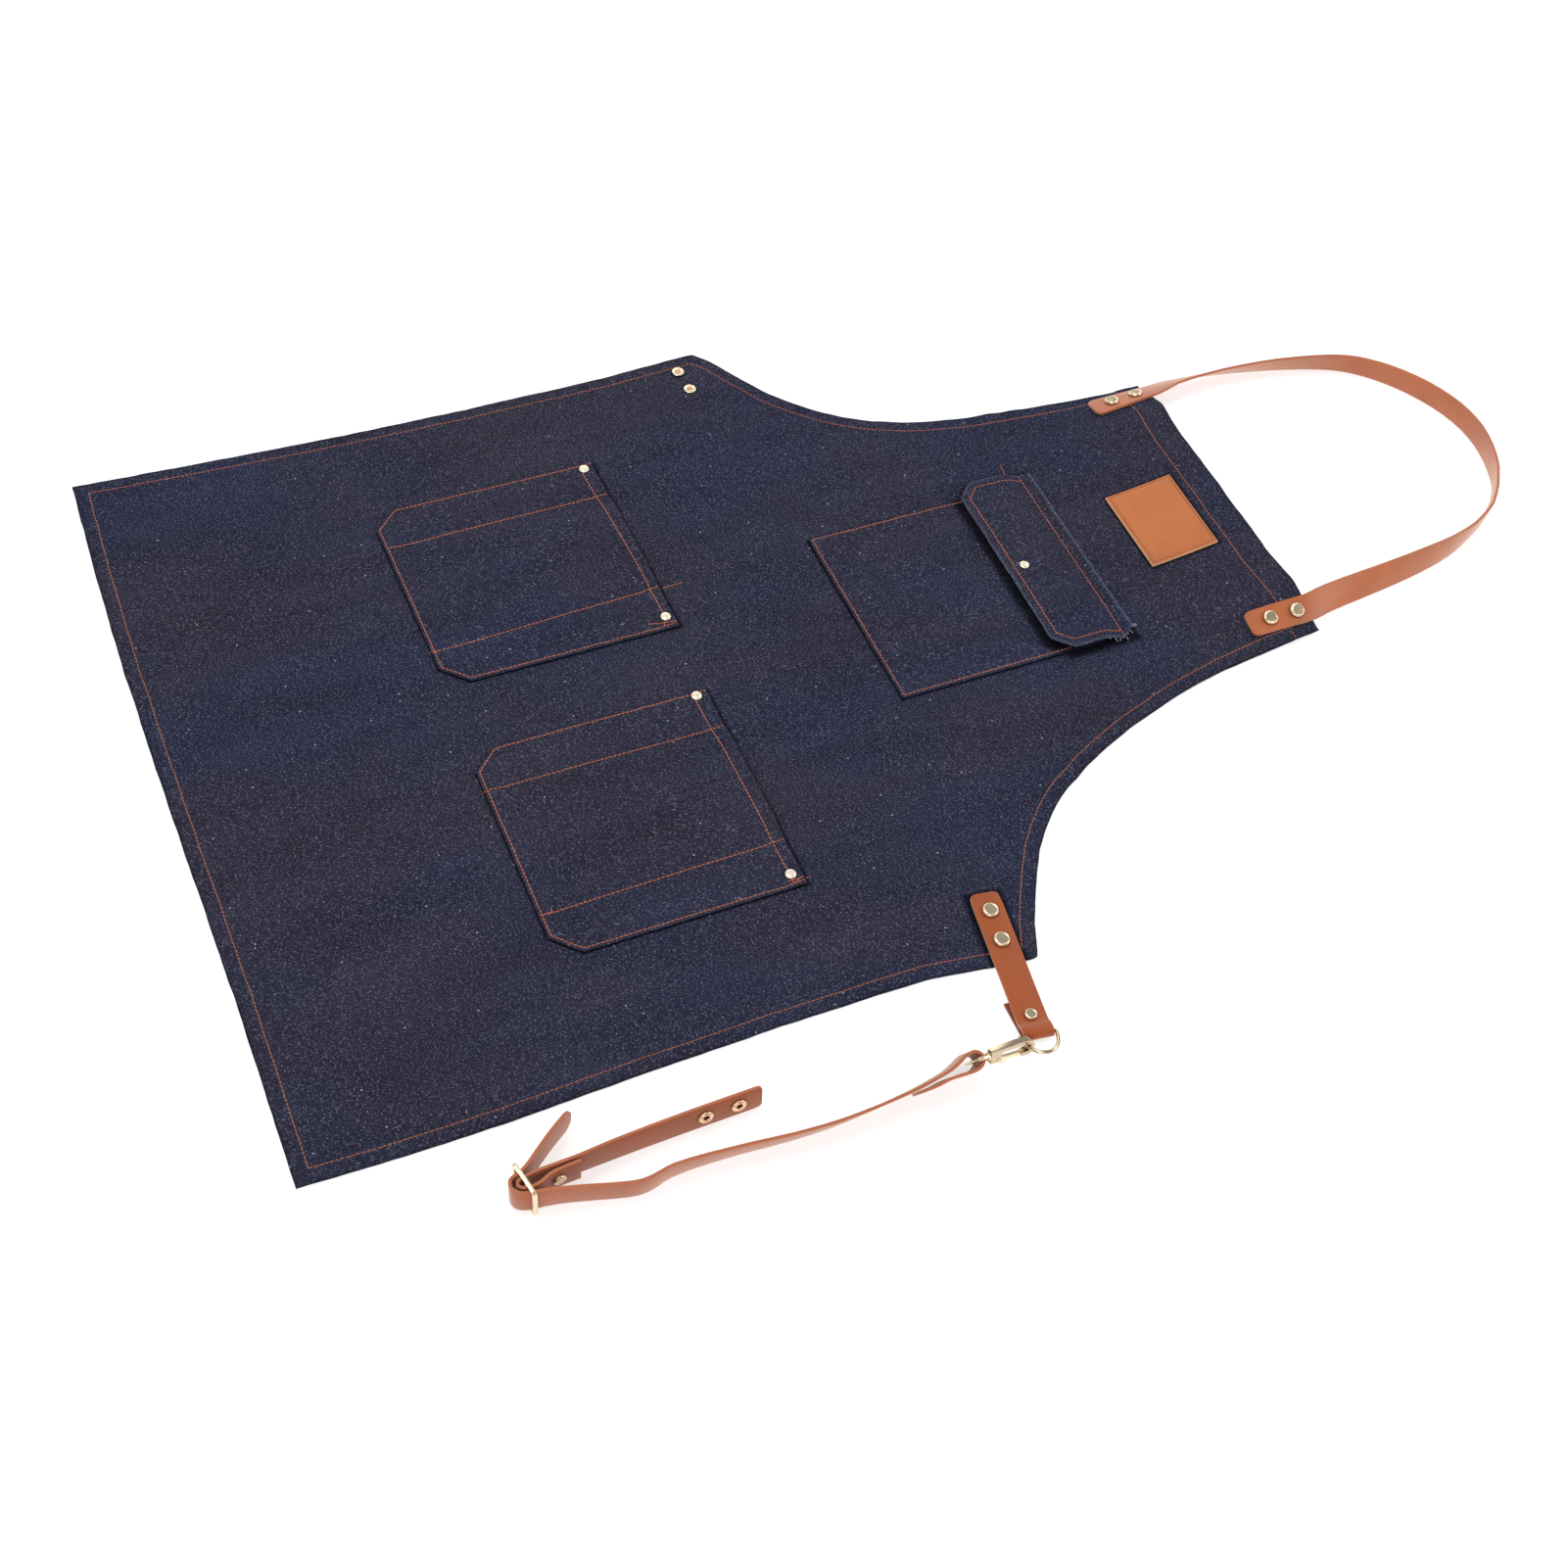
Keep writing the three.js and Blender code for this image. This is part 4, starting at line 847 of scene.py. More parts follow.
def drawn(plan, solid, low, high):
    """The plan drawn out of line at the hem and at the bib's top, as the solid's ends are."""
    across = np.linspace(solid.low.x + HEM_INSET, solid.high.x - HEM_INSET, HEM_READINGS)
    hem = np.array([solid.hit((x, -1, EDGE_LEVEL), (0, 1, 0)).y for x in across]) - low
    bib = np.linspace(plan[-1, 0, 0] + BIB_INSET, plan[-1, -1, 0] - BIB_INSET, BIB_READINGS)
    tops = np.array([solid.end(x, high - NEAR_END, -1) for x in bib]) - high
    x, y = plan[..., 0], plan[..., 1]
    down = np.clip(1 - (y - low) / HEM_DRAW, 0, 1)
    up = np.clip(1 - (high - y) / BIB_DRAW, 0, 1) ** 2
    return np.stack([x, y + np.interp(x, across, hem) * down + np.interp(x, bib, tops) * up], axis=2)


# Sways of the panel's lines, puckers of its hems, waves of its middle, and where these begin and are full
PANEL_SWAYS = ((0.011, 0.00035, (3, 8)), (0.034, 0.0006, (23, 28)))
PANEL_PUCKERS = ((0.0085, 0.00026, 1), (0.021, 0.0002, 2))
PANEL_WAVES = ((0.11, 0.0007, 4), (0.045, 0.0003, 6))
WAVES_RANGE = (0.004, 0.06)
# Widths of the step inside a hem and of its stitch line, for the sides and for the bib's top
HEM_STEP, TOP_STEP = 0.0022, 0.0024
HEM_LINE, TOP_LINE = 0.0011, 0.0013
# Heights: lift off the table, folded edge above and below, rise under single cloth, dips at the stitches
LIFT = 0.00022
EDGE_TOP, EDGE_FOOT = 0.0009, 0.0008
SINGLE_RISE = 0.00035
LINE_DIP, LINE_RISE = 0.00032, 0.0004
# Wear of the stitch lines, and the width and strength of the painted shade along the outer edge
LINE_WEAR = 0.1
DARK_EDGE, EDGE_DARK = 0.0009, 0.8
# Stitch that runs on past the chest flap's far end
STRAY_STITCH = ((-0.1036, 0.2551), (-0.0870, 0.2526))


def make_panel(sizes):
    """The hemmed panel: thicker along its hems, dipped at their stitches, and lying in low waves."""
    solid = Solid("apron_panel")
    plan = swayed(panel_plan(solid, sizes), PANEL_SWAYS)
    side = rim_distance(plan, SEWN_RIMS)
    top = rim_distance(plan, ("high",))
    edge = np.minimum(side, top)
    floor = solid.heights(plan, UP, passes=10)
    side_hem = ease(side, sizes.hem + HEM_STEP, sizes.hem)
    hemmed = np.maximum(side_hem, ease(top, sizes.top_hem + TOP_STEP, sizes.top_hem))
    line = bell(side, sizes.hem, HEM_LINE) + bell(top, sizes.top_hem, TOP_LINE)
    pucker = hemmed * waves(plan, PANEL_PUCKERS)
    swell = waves(plan, PANEL_WAVES) * ease(edge, *WAVES_RANGE)
    thick = sizes.cloth + (sizes.hem_thick - sizes.cloth) * hemmed - line * LINE_DIP + pucker
    lift = floor + np.maximum(swell, 0) + LIFT
    full = fold_round(edge)
    upper = lift + EDGE_TOP + (thick - EDGE_TOP) * full
    lower = lift + EDGE_FOOT * (1 - full) + SINGLE_RISE * (1 - hemmed) + line * LINE_RISE
    # The outer edge gets painted shade, as a value below 0
    wear = line * LINE_WEAR - np.exp(-edge / DARK_EDGE) * EDGE_DARK
    mesh = sheet_mesh(plan, upper, lower, wear)
    tree = BVHTree.FromBMesh(mesh)
    panel = stand_for(show(mesh, "denim_panel", ["panel_denim"]), "apron_panel")
    lines = panel_seams(plan, sizes)
    seams = [hem_stitches(lines, sizes, way) for way in (DOWN, UP)] + [tacks([STRAY_STITCH], sizes)]
    thread = sew("panel_thread", [tree], seams)
    lay_sheet(plan)


# How much nearer to a rim a seam may come at a bend, the top seam's clearance, and the armhole seams' end
SEAM_SLACK, TOP_CLEAR = 0.0004, 0.0006
ARMHOLE_END = 0.392


def panel_seams(plan, sizes):
    """Hem stitches: the skirt's hem and sides, the armholes, and the bib's wide top hem."""
    tree = rim_tree(plan, RIMS)
    clear = sizes.hem - SEAM_SLACK
    near, far = rim_line(plan, "right"), rim_line(plan, "left")[::-1]
    lines = [inset(rim_line(plan, "low"), sizes.hem, tree, clear)]
    for line in (near, far):
        skirt = line[line[:, 1] <= sizes.waist]
        armhole = line[(line[:, 1] > sizes.waist) & (line[:, 1] < ARMHOLE_END)]
        lines.append(inset(skirt, sizes.hem, tree, clear))
        lines.append(inset(armhole, sizes.hem, tree, clear))
    lines.append(inset(rim_line(plan, "high")[::-1], sizes.top_hem, tree, TOP_CLEAR))
    return lines


# Pockets and flap

# Where a patch's lean is read, as a share of its half width, and how many rows its close loops take up
LEAN_AT = 0.6
LOOP_ROWS = 12
# How much nearer to a patch's edge its seam may come at a bend
PATCH_SLACK = 0.0003


def patch_plan(solid, cut, cell):
    """Places of a patch's grid: its two bottom corners cut off, and leaning as its solid does."""
    middle, half = (solid.low.x + solid.high.x) / 2, (solid.high.x - solid.low.x) / 2
    foot = solid.low.y + NEAR_END
    low = solid.end(middle, foot, 1)
    high = solid.end(middle, solid.high.y - NEAR_END, -1)
    left, right = (solid.end(middle + side * half * LEAN_AT, foot, 1) for side in (-1, 1))
    lean = (right - left) / (2 * LEAN_AT * half)
    rows = spread(low, high, SEAM_LOOPS, SEAM_LOOPS, round((high - low) / cell) - LOOP_ROWS)
    across = spread(-half, half, SEAM_LOOPS, SEAM_LOOPS, round(2 * half / cell) - 2 * len(SEAM_LOOPS))
    plan = []
    for y in rows:
        offsets = across * (1 - max(cut - (y - low), 0) / half)
        plan.append([(middle + offset, y + lean * offset) for offset in offsets])
    return np.array(plan)


def patch_seams(plan, inner):
    """The seam round a patch's two sides and bottom, at a distance inside them."""
    tree = rim_tree(plan, SEWN_RIMS)
    sides = [rim_line(plan, "left")[::-1], rim_line(plan, "low"), rim_line(plan, "right")]
    return [inset(line, inner, tree, inner - PATCH_SLACK) for line in sides]


# A pocket's grid cell, its sways, the puckers beside its stitches and the waves of its middle, and where
# these begin and are full
POCKET_CELL = 0.0026
POCKET_SWAYS = ((0.009, 0.0003, (5, 2)),)
POCKET_PUCKERS, PUCKERS_RANGE = ((0.007, 0.00022, 7),), (0.006, 0.001)
POCKET_WAVES, SWELL_RANGE = ((0.05, 0.0005, 9),), (0.003, 0.03)
# Heights of the mouth's hem and of the turned-in edges with their steps, then grooves and folded edges
MOUTH_HEIGHT, MOUTH_STEP = 0.0007, 0.0015
TURN_HEIGHT, TURN_RANGE = 0.0009, (0.012, 0.006)
GROOVE_DEPTH, GROOVE = 0.0003, 0.001
FOLD_DROP, POCKET_FOLD = 0.0005, 0.0009
# Wear of the stitch lines, and the width and wear of the pale edges
GROOVE_WEAR = 0.08
PALE_EDGE, PALE_WEAR = 0.0006, 0.2


def make_pocket(row, sizes):
    """A patch pocket: sewn on three sides, and standing open at its mouth."""
    solid = Solid(row["node"])
    plan = swayed(patch_plan(solid, row["cut"], POCKET_CELL), POCKET_SWAYS)
    sewn = rim_distance(plan, SEWN_RIMS)
    mouth = rim_distance(plan, ("high",))
    edge = np.minimum(sewn, mouth)
    seat = solid.low.z + sizes.cloth
    face = seat + (solid.heights(plan, DOWN, passes=6) - seat) * row["puff"]
    lines = patch_seams(plan, sizes.edge_seam) + [mouth_seam(plan, row)] + dividers(plan, row, sizes)
    stitched = seam_distance(plan, lines)
    in_mouth = ease(mouth, row["mouth"][0] + MOUTH_STEP, row["mouth"][0])
    pucker = ease(stitched, *PUCKERS_RANGE) * waves(plan, POCKET_PUCKERS)
    swell = waves(plan, POCKET_WAVES) * ease(edge, *SWELL_RANGE)
    groove = bell(stitched, 0, GROOVE)
    folded = ease(sewn, *TURN_RANGE) * TURN_HEIGHT
    lower = face - sizes.cloth
    face = face + in_mouth * MOUTH_HEIGHT + folded + pucker + swell - groove * GROOVE_DEPTH
    upper = face - (1 - fold_round(edge, POCKET_FOLD)) * FOLD_DROP
    wear = np.exp(-edge / PALE_EDGE) * PALE_WEAR + groove * GROOVE_WEAR
    # The pocket's underside and the foot of its walls get painted shade
    mesh = sheet_mesh(plan, upper, lower, wear, under_shade=-1)
    pocket = stand_for(show(mesh, row["name"], [row["finish"]]), row["node"])
    trees = [tree_of(row["name"]), tree_of("denim_panel")]
    thread = sew(row["name"] + "_thread", trees, [stitches(lines, sizes), tacks(row["tacks"], sizes)])
    lay_sheet(plan)


def mouth_seam(plan, row):
    """The seam below a pocket's mouth, from one corner rivet to the other."""
    left, right = plan[-1, 0], plan[-1, -1]
    return [left + (row["mouth_from"], -row["mouth"][0]), right + (-row["mouth_from"], -row["mouth"][1])]


def dividers(plan, row, sizes):
    """The seams that part the slots from a pocket's middle, some of them sewn past its mouth."""
    x, y = (plan[-1, 0] + plan[-1, -1]) / 2
    low = plan[0, :, 1].mean() + sizes.edge_seam
    return [[(x + foot, low), (x + head, y + past)] for foot, head, past in row["dividers"]]


# Pockets: the cut of their bottom corners and how much of the solid's swell they have; the mouth seam's
# distance from the mouth at its far and near ends, and where it starts; the dividers' offsets at foot and
# head, and how far they pass the mouth; and tacks
POUCHES = (
    {
        "node": "pocket_left", "name": "pouch_left", "finish": "pocket_denim", "cut": 0.017, "puff": 0.75,
        "mouth": (0.0096, 0.0062), "mouth_from": 0.009,
        "dividers": ((-0.0501, -0.0513, -0.0015), (0.0543, 0.0478, 0.0190)),
        "tacks": (
            ((-0.0382, -0.0540), (-0.0350, -0.0440), (-0.0338, -0.0345)),
            ((-0.0375, -0.0410), (-0.0325, -0.0440)),
            ((-0.0648, -0.2050), (-0.0617, -0.1984)),
        ),
    },
    {
        "node": "pocket_right", "name": "pouch_right", "finish": "pocket_denim", "cut": 0.017, "puff": 0.75,
        "mouth": (0.0101, 0.0082), "mouth_from": 0.008,
        "dividers": ((-0.0531, -0.0518, -0.0005), (0.0526, 0.0498, 0.0010)),
        "tacks": (
            ((0.1975, -0.0449), (0.2021, -0.0449), (0.1988, -0.0378), (0.1991, -0.0318)),
            ((0.1990, -0.0480), (0.1995, -0.0400)),
            ((0.1696, -0.2053), (0.1701, -0.1970), (0.1657, -0.1958)),
            ((0.0639, -0.2088), (0.0649, -0.2036)),
        ),
    },
    {
        "node": "chest_pocket", "name": "chest_pouch", "finish": "pouch_denim", "cut": 0, "puff": 0.35,
        "mouth": (0.0090, 0.0090), "mouth_from": 0.004, "dividers": (), "tacks": (),
    },
)


# The flap's grid cell, its sways, the puckers of its edges and where they begin and are full, and its waves
FLAP_CELL = 0.0024
FLAP_SWAYS = ((0.008, 0.0006, (15, 12)),)
FLAP_PUCKERS, EDGE_RANGE = ((0.009, 0.0004, 17),), (0.009, 0.002)
FLAP_WAVES = ((0.04, 0.0006, 19),)
# Its root strip: height and where it steps up, ends of its seam, and the frayed end's length, trim and lift
STRIP_HEIGHT, STRIP_RANGE = 0.0005, (0.08, 0.2)
ROOT_INSET = 0.001
FRAYED, TRIM = 0.03, 0.0090
FRAY_LIFT, FRAY_UNDER = 0.0012, 0.0008
# Its stitch grooves and folded edges, and how much of the puckers its underside has
FLAP_DEPTH, FLAP_GROOVE = 0.00045, 0.0011
FLAP_FOLD, FLAP_DROP, FLAP_RISE = 0.0010, 0.0007, 0.0005
UNDER_PUCKER = 0.5
# Width and wear of its edges, and beside its root edge a worn line, a dark line and their strengths
WORN_EDGE, EDGE_WEAR = 0.0015, 0.8
WORN_LINE, BAND_WEAR = (0.0014, 0.0012), 0.45
DARK_LINE, DARK_SHARE = (0.0046, 0.0016), 0.5


def make_flap(sizes):
    """The chest pocket's flap: two layers, stitched round, held along its root and worn at its edges."""
    solid = Solid("pocket_flap")
    plan = swayed(patch_plan(solid, sizes.flap_cut, FLAP_CELL), FLAP_SWAYS)
    root = solid.high.y - sizes.root_seam
    strip = np.clip((plan[..., 1] - root) / sizes.root_seam, 0, 1)
    loose = ease(plan[..., 0], solid.high.x - FRAYED, solid.high.x) * strip
    face = solid.heights(plan, DOWN, passes=4) + loose * FRAY_LIFT
    under = solid.heights(plan, UP, passes=4) + loose * FRAY_UNDER
    plan[..., 0] -= loose * TRIM
    edge = rim_distance(plan, RIMS)
    top = rim_distance(plan, ("high",))
    lines = [line[line[:, 1] <= root] for line in patch_seams(plan, sizes.flap_seam)]
    lines.append([(solid.low.x + ROOT_INSET, root), (solid.high.x - ROOT_INSET, root)])
    groove = bell(seam_distance(plan, lines), 0, FLAP_GROOVE)
    pucker = ease(edge, *EDGE_RANGE) * waves(plan, FLAP_PUCKERS)
    face = face + pucker + waves(plan, FLAP_WAVES) - groove * FLAP_DEPTH
    face = face + ease(strip, *STRIP_RANGE) * STRIP_HEIGHT
    full = fold_round(edge, FLAP_FOLD)
    upper = face - (1 - full) * FLAP_DROP
    lower = under + (1 - full) * FLAP_RISE + pucker * UNDER_PUCKER
    root_edge_lines = bell(top, *WORN_LINE) - bell(top, *DARK_LINE) * DARK_SHARE
    wear = bell(edge, 0, WORN_EDGE) * EDGE_WEAR + root_edge_lines * BAND_WEAR
    # The flap's underside and the foot of its walls get painted shade
    mesh = sheet_mesh(plan, upper, lower, wear, under_shade=-0.8)
    flap = stand_for(show(mesh, "chest_flap", ["flap_denim"]), "pocket_flap")
    middle = np.concatenate([plan, ((upper + lower) / 2)[..., None]], axis=2)
    frayed = fray("flap_fray", middle)
    trees = [tree_of("chest_flap"), tree_of("denim_panel")]
    thread = sew("chest_flap_thread", trees, [stitches(lines, sizes)])
    lay_sheet(plan)


# Loose yarns at the flap's near root corner: row from the root edge, then how far out, on and up each goes
FRAY = (
    (1, 0.0016, 0.0022, 0.0006),
    (2, 0.0024, 0.0010, 0.0004),
    (3, 0.0018, -0.0006, 0.0008),
    (5, 0.0030, 0.0008, -0.0006),
    (6, 0.0016, -0.0012, 0.0007),
    (8, 0.0026, 0.0004, -0.0010),
    (11, 0.0020, -0.0014, 0.0002),
    (13, 0.0032, 0.0012, -0.0014),
    (15, 0.0014, 0.0010, 0.0004),
)
# Half a yarn's thickness, and as shares of its reach half its length and how far out its middle lies
YARN = 0.00022
YARN_HALF, YARN_OUT = 0.6, 0.5


def fray(name, middle):
    """Short loose yarns along the end of the flap's root strip."""
    shape, faces = stitch_shape()
    bundle = Bundle()
    for row, out, on, rise in FRAY:
        way = Vector((out, on, rise))
        side = way.cross(UP).normalized() * YARN
        basis = np.array([way * YARN_HALF, side, side.cross(way).normalized() * YARN])
        bundle.add(shape @ basis + middle[-row, -1] + np.array(way) * YARN_OUT, faces)
    return bundle.show(name, "loose_yarn")


# Leather

# Points closer than this are one
SAME_PLACE = 1e-6
# The patch: loops of its grid at its edge and beside its pressed line, and cells between them
PATCH_EDGE = (0, 0.0003, 0.0008)
PATCH_STEPS = (-0.0006, -0.0003, 0, 0.0003, 0.0008)
PATCH_CELLS = (30, 22)
# Width, depth and darkness of the line, the rounded edge, how upright a cut side is, and where shading breaks
PRESSED_WIDTH, PRESSED_DEPTH, PRESSED_DARK = 0.0005, 0.00035, 0.85
PATCH_ROUND, PATCH_DROP = 0.0008, 0.0005
UPRIGHT = 0.72
PATCH_SHARP = math.radians(50)


def make_patch(sizes):
    """The blank leather patch: a pressed line inside its edge, and paler cut sides."""
    solid = Solid("leather_patch")
    loops = PATCH_EDGE + tuple(sizes.patch_line + step for step in PATCH_STEPS)
    across = spread(solid.low.x, solid.high.x, loops, loops, PATCH_CELLS[0])
    rows = spread(solid.low.y, solid.high.y, loops, loops, PATCH_CELLS[1])
    plan = np.array([[(x, y) for x in across] for y in rows])
    edge = rim_distance(plan, RIMS)
    face = solid.heights(plan, DOWN, passes=6)
    under = solid.heights(plan, UP, passes=6)
    line = bell(edge, sizes.patch_line, PRESSED_WIDTH)
    upper = face - (1 - fold_round(edge, PATCH_ROUND)) * PATCH_DROP - line * PRESSED_DEPTH
    mesh = sheet_mesh(plan, upper, under, line * PRESSED_DARK)
    for part in mesh.faces:
        if abs(part.normal.z) < UPRIGHT:
            part.material_index = 1
    piece = show(mesh, "blank_patch", ["tan_patch", "tan_edge"], PATCH_SHARP)
    stand_for(piece, "leather_patch")


def merged(node):
    """A copy of a node's mesh with its loose triangles joined at their corners."""
    mesh = bmesh.new()
    mesh.from_mesh(NODES[node].data)
    bmesh.ops.remove_doubles(mesh, verts=mesh.verts[:], dist=SAME_PLACE)
    return mesh


def paired(node):
    """A merged copy of a node's mesh with its flat pairs of triangles made quads."""
    mesh = merged(node)
    limits = {"angle_face_threshold": math.radians(12), "angle_shape_threshold": math.radians(60)}
    bmesh.ops.join_triangles(mesh, faces=mesh.faces[:], **limits)
    return mesh


def sharp_edges(mesh, angle):
    return [edge for edge in mesh.edges if edge.calc_face_angle(0) > angle]


def rounded(mesh, radius, angle):
    """Rounds the edges of a mesh that are sharper than an angle."""
    shape = {"offset_type": "OFFSET", "affect": "EDGES", "segments": 3, "profile": 0.5, "material": -1}
    bmesh.ops.bevel(mesh, geom=sharp_edges(mesh, angle), offset=radius, clamp_overlap=True, **shape)


def mark_walls(mesh, angle):
    """Gives the narrow sides of a strap, all but its two broad faces, the second finish."""
    sharp = set(sharp_edges(mesh, angle))
    left = set(mesh.faces)
    regions = []
    while left:
        region, open_faces = [], [left.pop()]
        while open_faces:
            face = open_faces.pop()
            region.append(face)
            for edge in face.edges:
                if edge not in sharp:
                    fresh = [other for other in edge.link_faces if other in left]
                    left.difference_update(fresh)
                    open_faces.extend(fresh)
        regions.append(region)
    regions.sort(key=lambda region: -sum(face.calc_area() for face in region))
    for region in regions[2:]:
        for face in region:
            face.material_index = 1


# The tab's under leaf: where it leaves the fold, its upper face and its length
UNDER_LEAF = {"fold": 0.352, "top": 0.00242, "length": 0.022}
# Past this angle an edge of a strap is a corner, and past the other its shading breaks
STRAP_CORNER = math.radians(48)
STRAP_SHARP = math.radians(60)


def slip_leaf(mesh, sizes):
    """Turns the tab's under leaf a little out of line with the upper one, and paints shade on it."""
    shaded = mesh.verts.layers.float.new("wear")
    for vert in mesh.verts:
        back = UNDER_LEAF["fold"] - vert.co.x
        if back > 0 and vert.co.z < UNDER_LEAF["top"]:
            vert.co.y -= sizes.leaf_slip * min(back / UNDER_LEAF["length"], 1)
            vert[shaded] = 1


def make_strap(node, name, face, sizes):
    """A leather strap with painted, softly rounded edges."""
    mesh = paired(node)
    if node == "side_tab":
        slip_leaf(mesh, sizes)
    mark_walls(mesh, STRAP_CORNER)
    rounded(mesh, sizes.strap_round, STRAP_CORNER)
    piece = show(mesh, name, [face, "cognac_edge"], STRAP_SHARP)
    stand_for(piece, node)


# Metal

# Faces closer than this lie in one plane
SAME_PLANE = 1e-5
# Past these angles a metal edge is broken, and the shading of the metal and of the turned caps breaks
METAL_CORNER = math.radians(30)
METAL_SHARP = math.radians(38)
CAP_SHARP = math.radians(40)


def outer_area(faces):
    """Area of those faces of one direction that lie in the outermost plane."""
    reach = [face.normal.dot(face.calc_center_median()) for face in faces]
    return sum(face.calc_area() for face, out in zip(faces, reach) if max(reach) - out < SAME_PLANE)


def seat_of(node):
    """Base centre, outward axis, radius and height of a cap, from the flat base of its solid."""
    mesh = merged(node)
    groups = {}
    for face in mesh.faces:
        key = tuple(round(value, 2) for value in face.normal)
        groups.setdefault(key, []).append(face)
    base = max(groups.values(), key=outer_area)
    axis = -base[0].normal.copy()
    corners = {vert for face in base for vert in face.verts}
    rim = max(corners, key=lambda vert: (vert.co - base[0].calc_center_median()).length)
    centre = sum((vert.co for vert in corners), Vector()) / len(corners)
    radius = (rim.co - centre).length
    height = max((vert.co - centre).dot(axis) for vert in mesh.verts)
    mesh.free()
    return centre, axis, radius, height


# Profiles of the turned caps, as shares of the radius and the height. DISH, BORE and POST are the shares of
# the radius within which a cap has its second finish
RIVET = (
    (0, 0), (0.94, 0), (1, 0.1), (1, 0.38), (0.98, 0.62), (0.94, 0.84), (0.88, 0.97), (0.83, 1),
    (0.79, 0.97), (0.76, 0.92), (0.6, 0.94), (0.3, 0.96), (0, 0.97),
)
DISH = 0.76
DOME = (
    (0, 0), (0.94, 0), (1, 0.1), (1, 0.3), (0.96, 0.5), (0.88, 0.68), (0.76, 0.82), (0.6, 0.92),
    (0.42, 0.975), (0.2, 1), (0, 1),
)
SOCKET = (
    (0, 0), (0.96, 0), (1, 0.12), (1, 0.4), (0.95, 0.68), (0.87, 0.9), (0.78, 1), (0.62, 1),
    (0.53, 0.93), (0.46, 0.8), (0.41, 0.6), (0.40, 0.1), (0, 0.1),
)
BORE = 0.405
STUD = (
    (0, 0), (0.96, 0), (1, 0.06), (1, 0.14), (0.93, 0.2), (0.62, 0.2), (0.46, 0.23), (0.38, 0.36),
    (0.37, 0.6), (0.43, 0.78), (0.41, 0.92), (0.3, 1), (0, 1),
)
POST = 0.6
CAP_STEPS = 40


def make_cap(node, profile, plating, middle_finish=None, middle_share=0):
    """A turned cap on the seat of its node; the middle of its face may have its own finish."""
    centre, axis, radius, height = seat_of(node)
    mesh = bmesh.new()
    points = [mesh.verts.new((share * radius, 0, rise * height)) for share, rise in profile]
    line = [mesh.edges.new(pair) for pair in zip(points, points[1:])]
    turning = {"cent": (0, 0, 0), "axis": UP, "angle": math.tau, "steps": CAP_STEPS, "use_merge": True}
    bmesh.ops.spin(mesh, geom=points + line, **turning)
    bmesh.ops.remove_doubles(mesh, verts=mesh.verts[:], dist=SAME_PLACE)
    bmesh.ops.recalc_face_normals(mesh, faces=mesh.faces[:])
    for face in mesh.faces:
        middle = face.calc_center_median()
        face.material_index = middle.z > 0 and middle.xy.length < middle_share * radius
    turn = UP.rotation_difference(axis).to_matrix().to_4x4()
    bmesh.ops.transform(mesh, matrix=Matrix.Translation(centre) @ turn, verts=mesh.verts[:])
    piece = show(mesh, "cap_" + node, [plating, middle_finish or plating], CAP_SHARP)
    stand_for(piece, node)


def make_metal(node, name, body, plating, sizes):
    """A metal piece with its solid's shape and softly broken edges."""
    mesh = paired(node)
    rounded(mesh, sizes.metal_round, METAL_CORNER)
    piece = show(mesh, name, [plating], METAL_SHARP)
    stand_for(piece, node, body)


def make_wire(node, name):
    """A piece of bent wire, its many-sided solid smoothed to a round section."""
    # The ring takes the darker gold, painted shade for its darker reflection
    piece = show(paired(node), name, ["dull_gold"])
    smooth = piece.modifiers.new("round", "SUBSURF")
    smooth.levels = 2
    smooth.render_levels = 2
    stand_for(piece, node)


# Operators


class APRON_OT_stage(bpy.types.Operator):
    """Set the pale floor, the soft lights and the camera"""

    bl_idname = "apron.stage"
    bl_label = "Stage"

    def execute(self, context):
        make_floor()
        make_lights(context.scene)
        make_camera(context.scene)
        return {"FINISHED"}


# Half the floor's width, and how far below the apron it lies
FLOOR_HALF, FLOOR_DROP = 6, 0.0001


def make_floor():
    """The wide pale floor."""
    mesh = bmesh.new()
    bmesh.ops.create_grid(mesh, x_segments=8, y_segments=8, size=FLOOR_HALF)
    bmesh.ops.translate(mesh, vec=DOWN * FLOOR_DROP, verts=mesh.verts[:])
    show(mesh, FLOOR, ["pale_floor"])


# Area lights: name, place, size and power of each, aimed at the middle of the apron
LIGHTS = (
    ("key", (-0.35, -0.55, 2.2), 0.9, 22),
    ("back", (-2.0, 0.5, 0.8), 1.3, 10),
    ("fill", (1.9, -1.2, 1.0), 1.4, 17),
    ("side", (0.9, 2.0, 1.2), 1.4, 17),
    ("gloss", (-0.85, 1.6, 1.36), 0.5, 6),
)
WORLD_STRENGTH = 0.42


def make_lights(scene):
    """A white surrounding, and the soft lights."""
    world = bpy.data.worlds.new("studio")
    world.use_nodes = True
    world.node_tree.nodes["Background"].inputs["Color"].default_value = (1, 1, 1, 1)
    world.node_tree.nodes["Background"].inputs["Strength"].default_value = WORLD_STRENGTH
    scene.world = world
    scene.view_settings.view_transform = "Standard"
    for name, place, size, power in LIGHTS:
        light = bpy.data.lights.new(name, "AREA")
        light.energy = power
        light.size = size
        lamp = bpy.data.objects.new(name, light)
        lamp.location = place
        lamp.rotation_euler = (-lamp.location).to_track_quat("-Z", "Y").to_euler()
        scene.collection.objects.link(lamp)


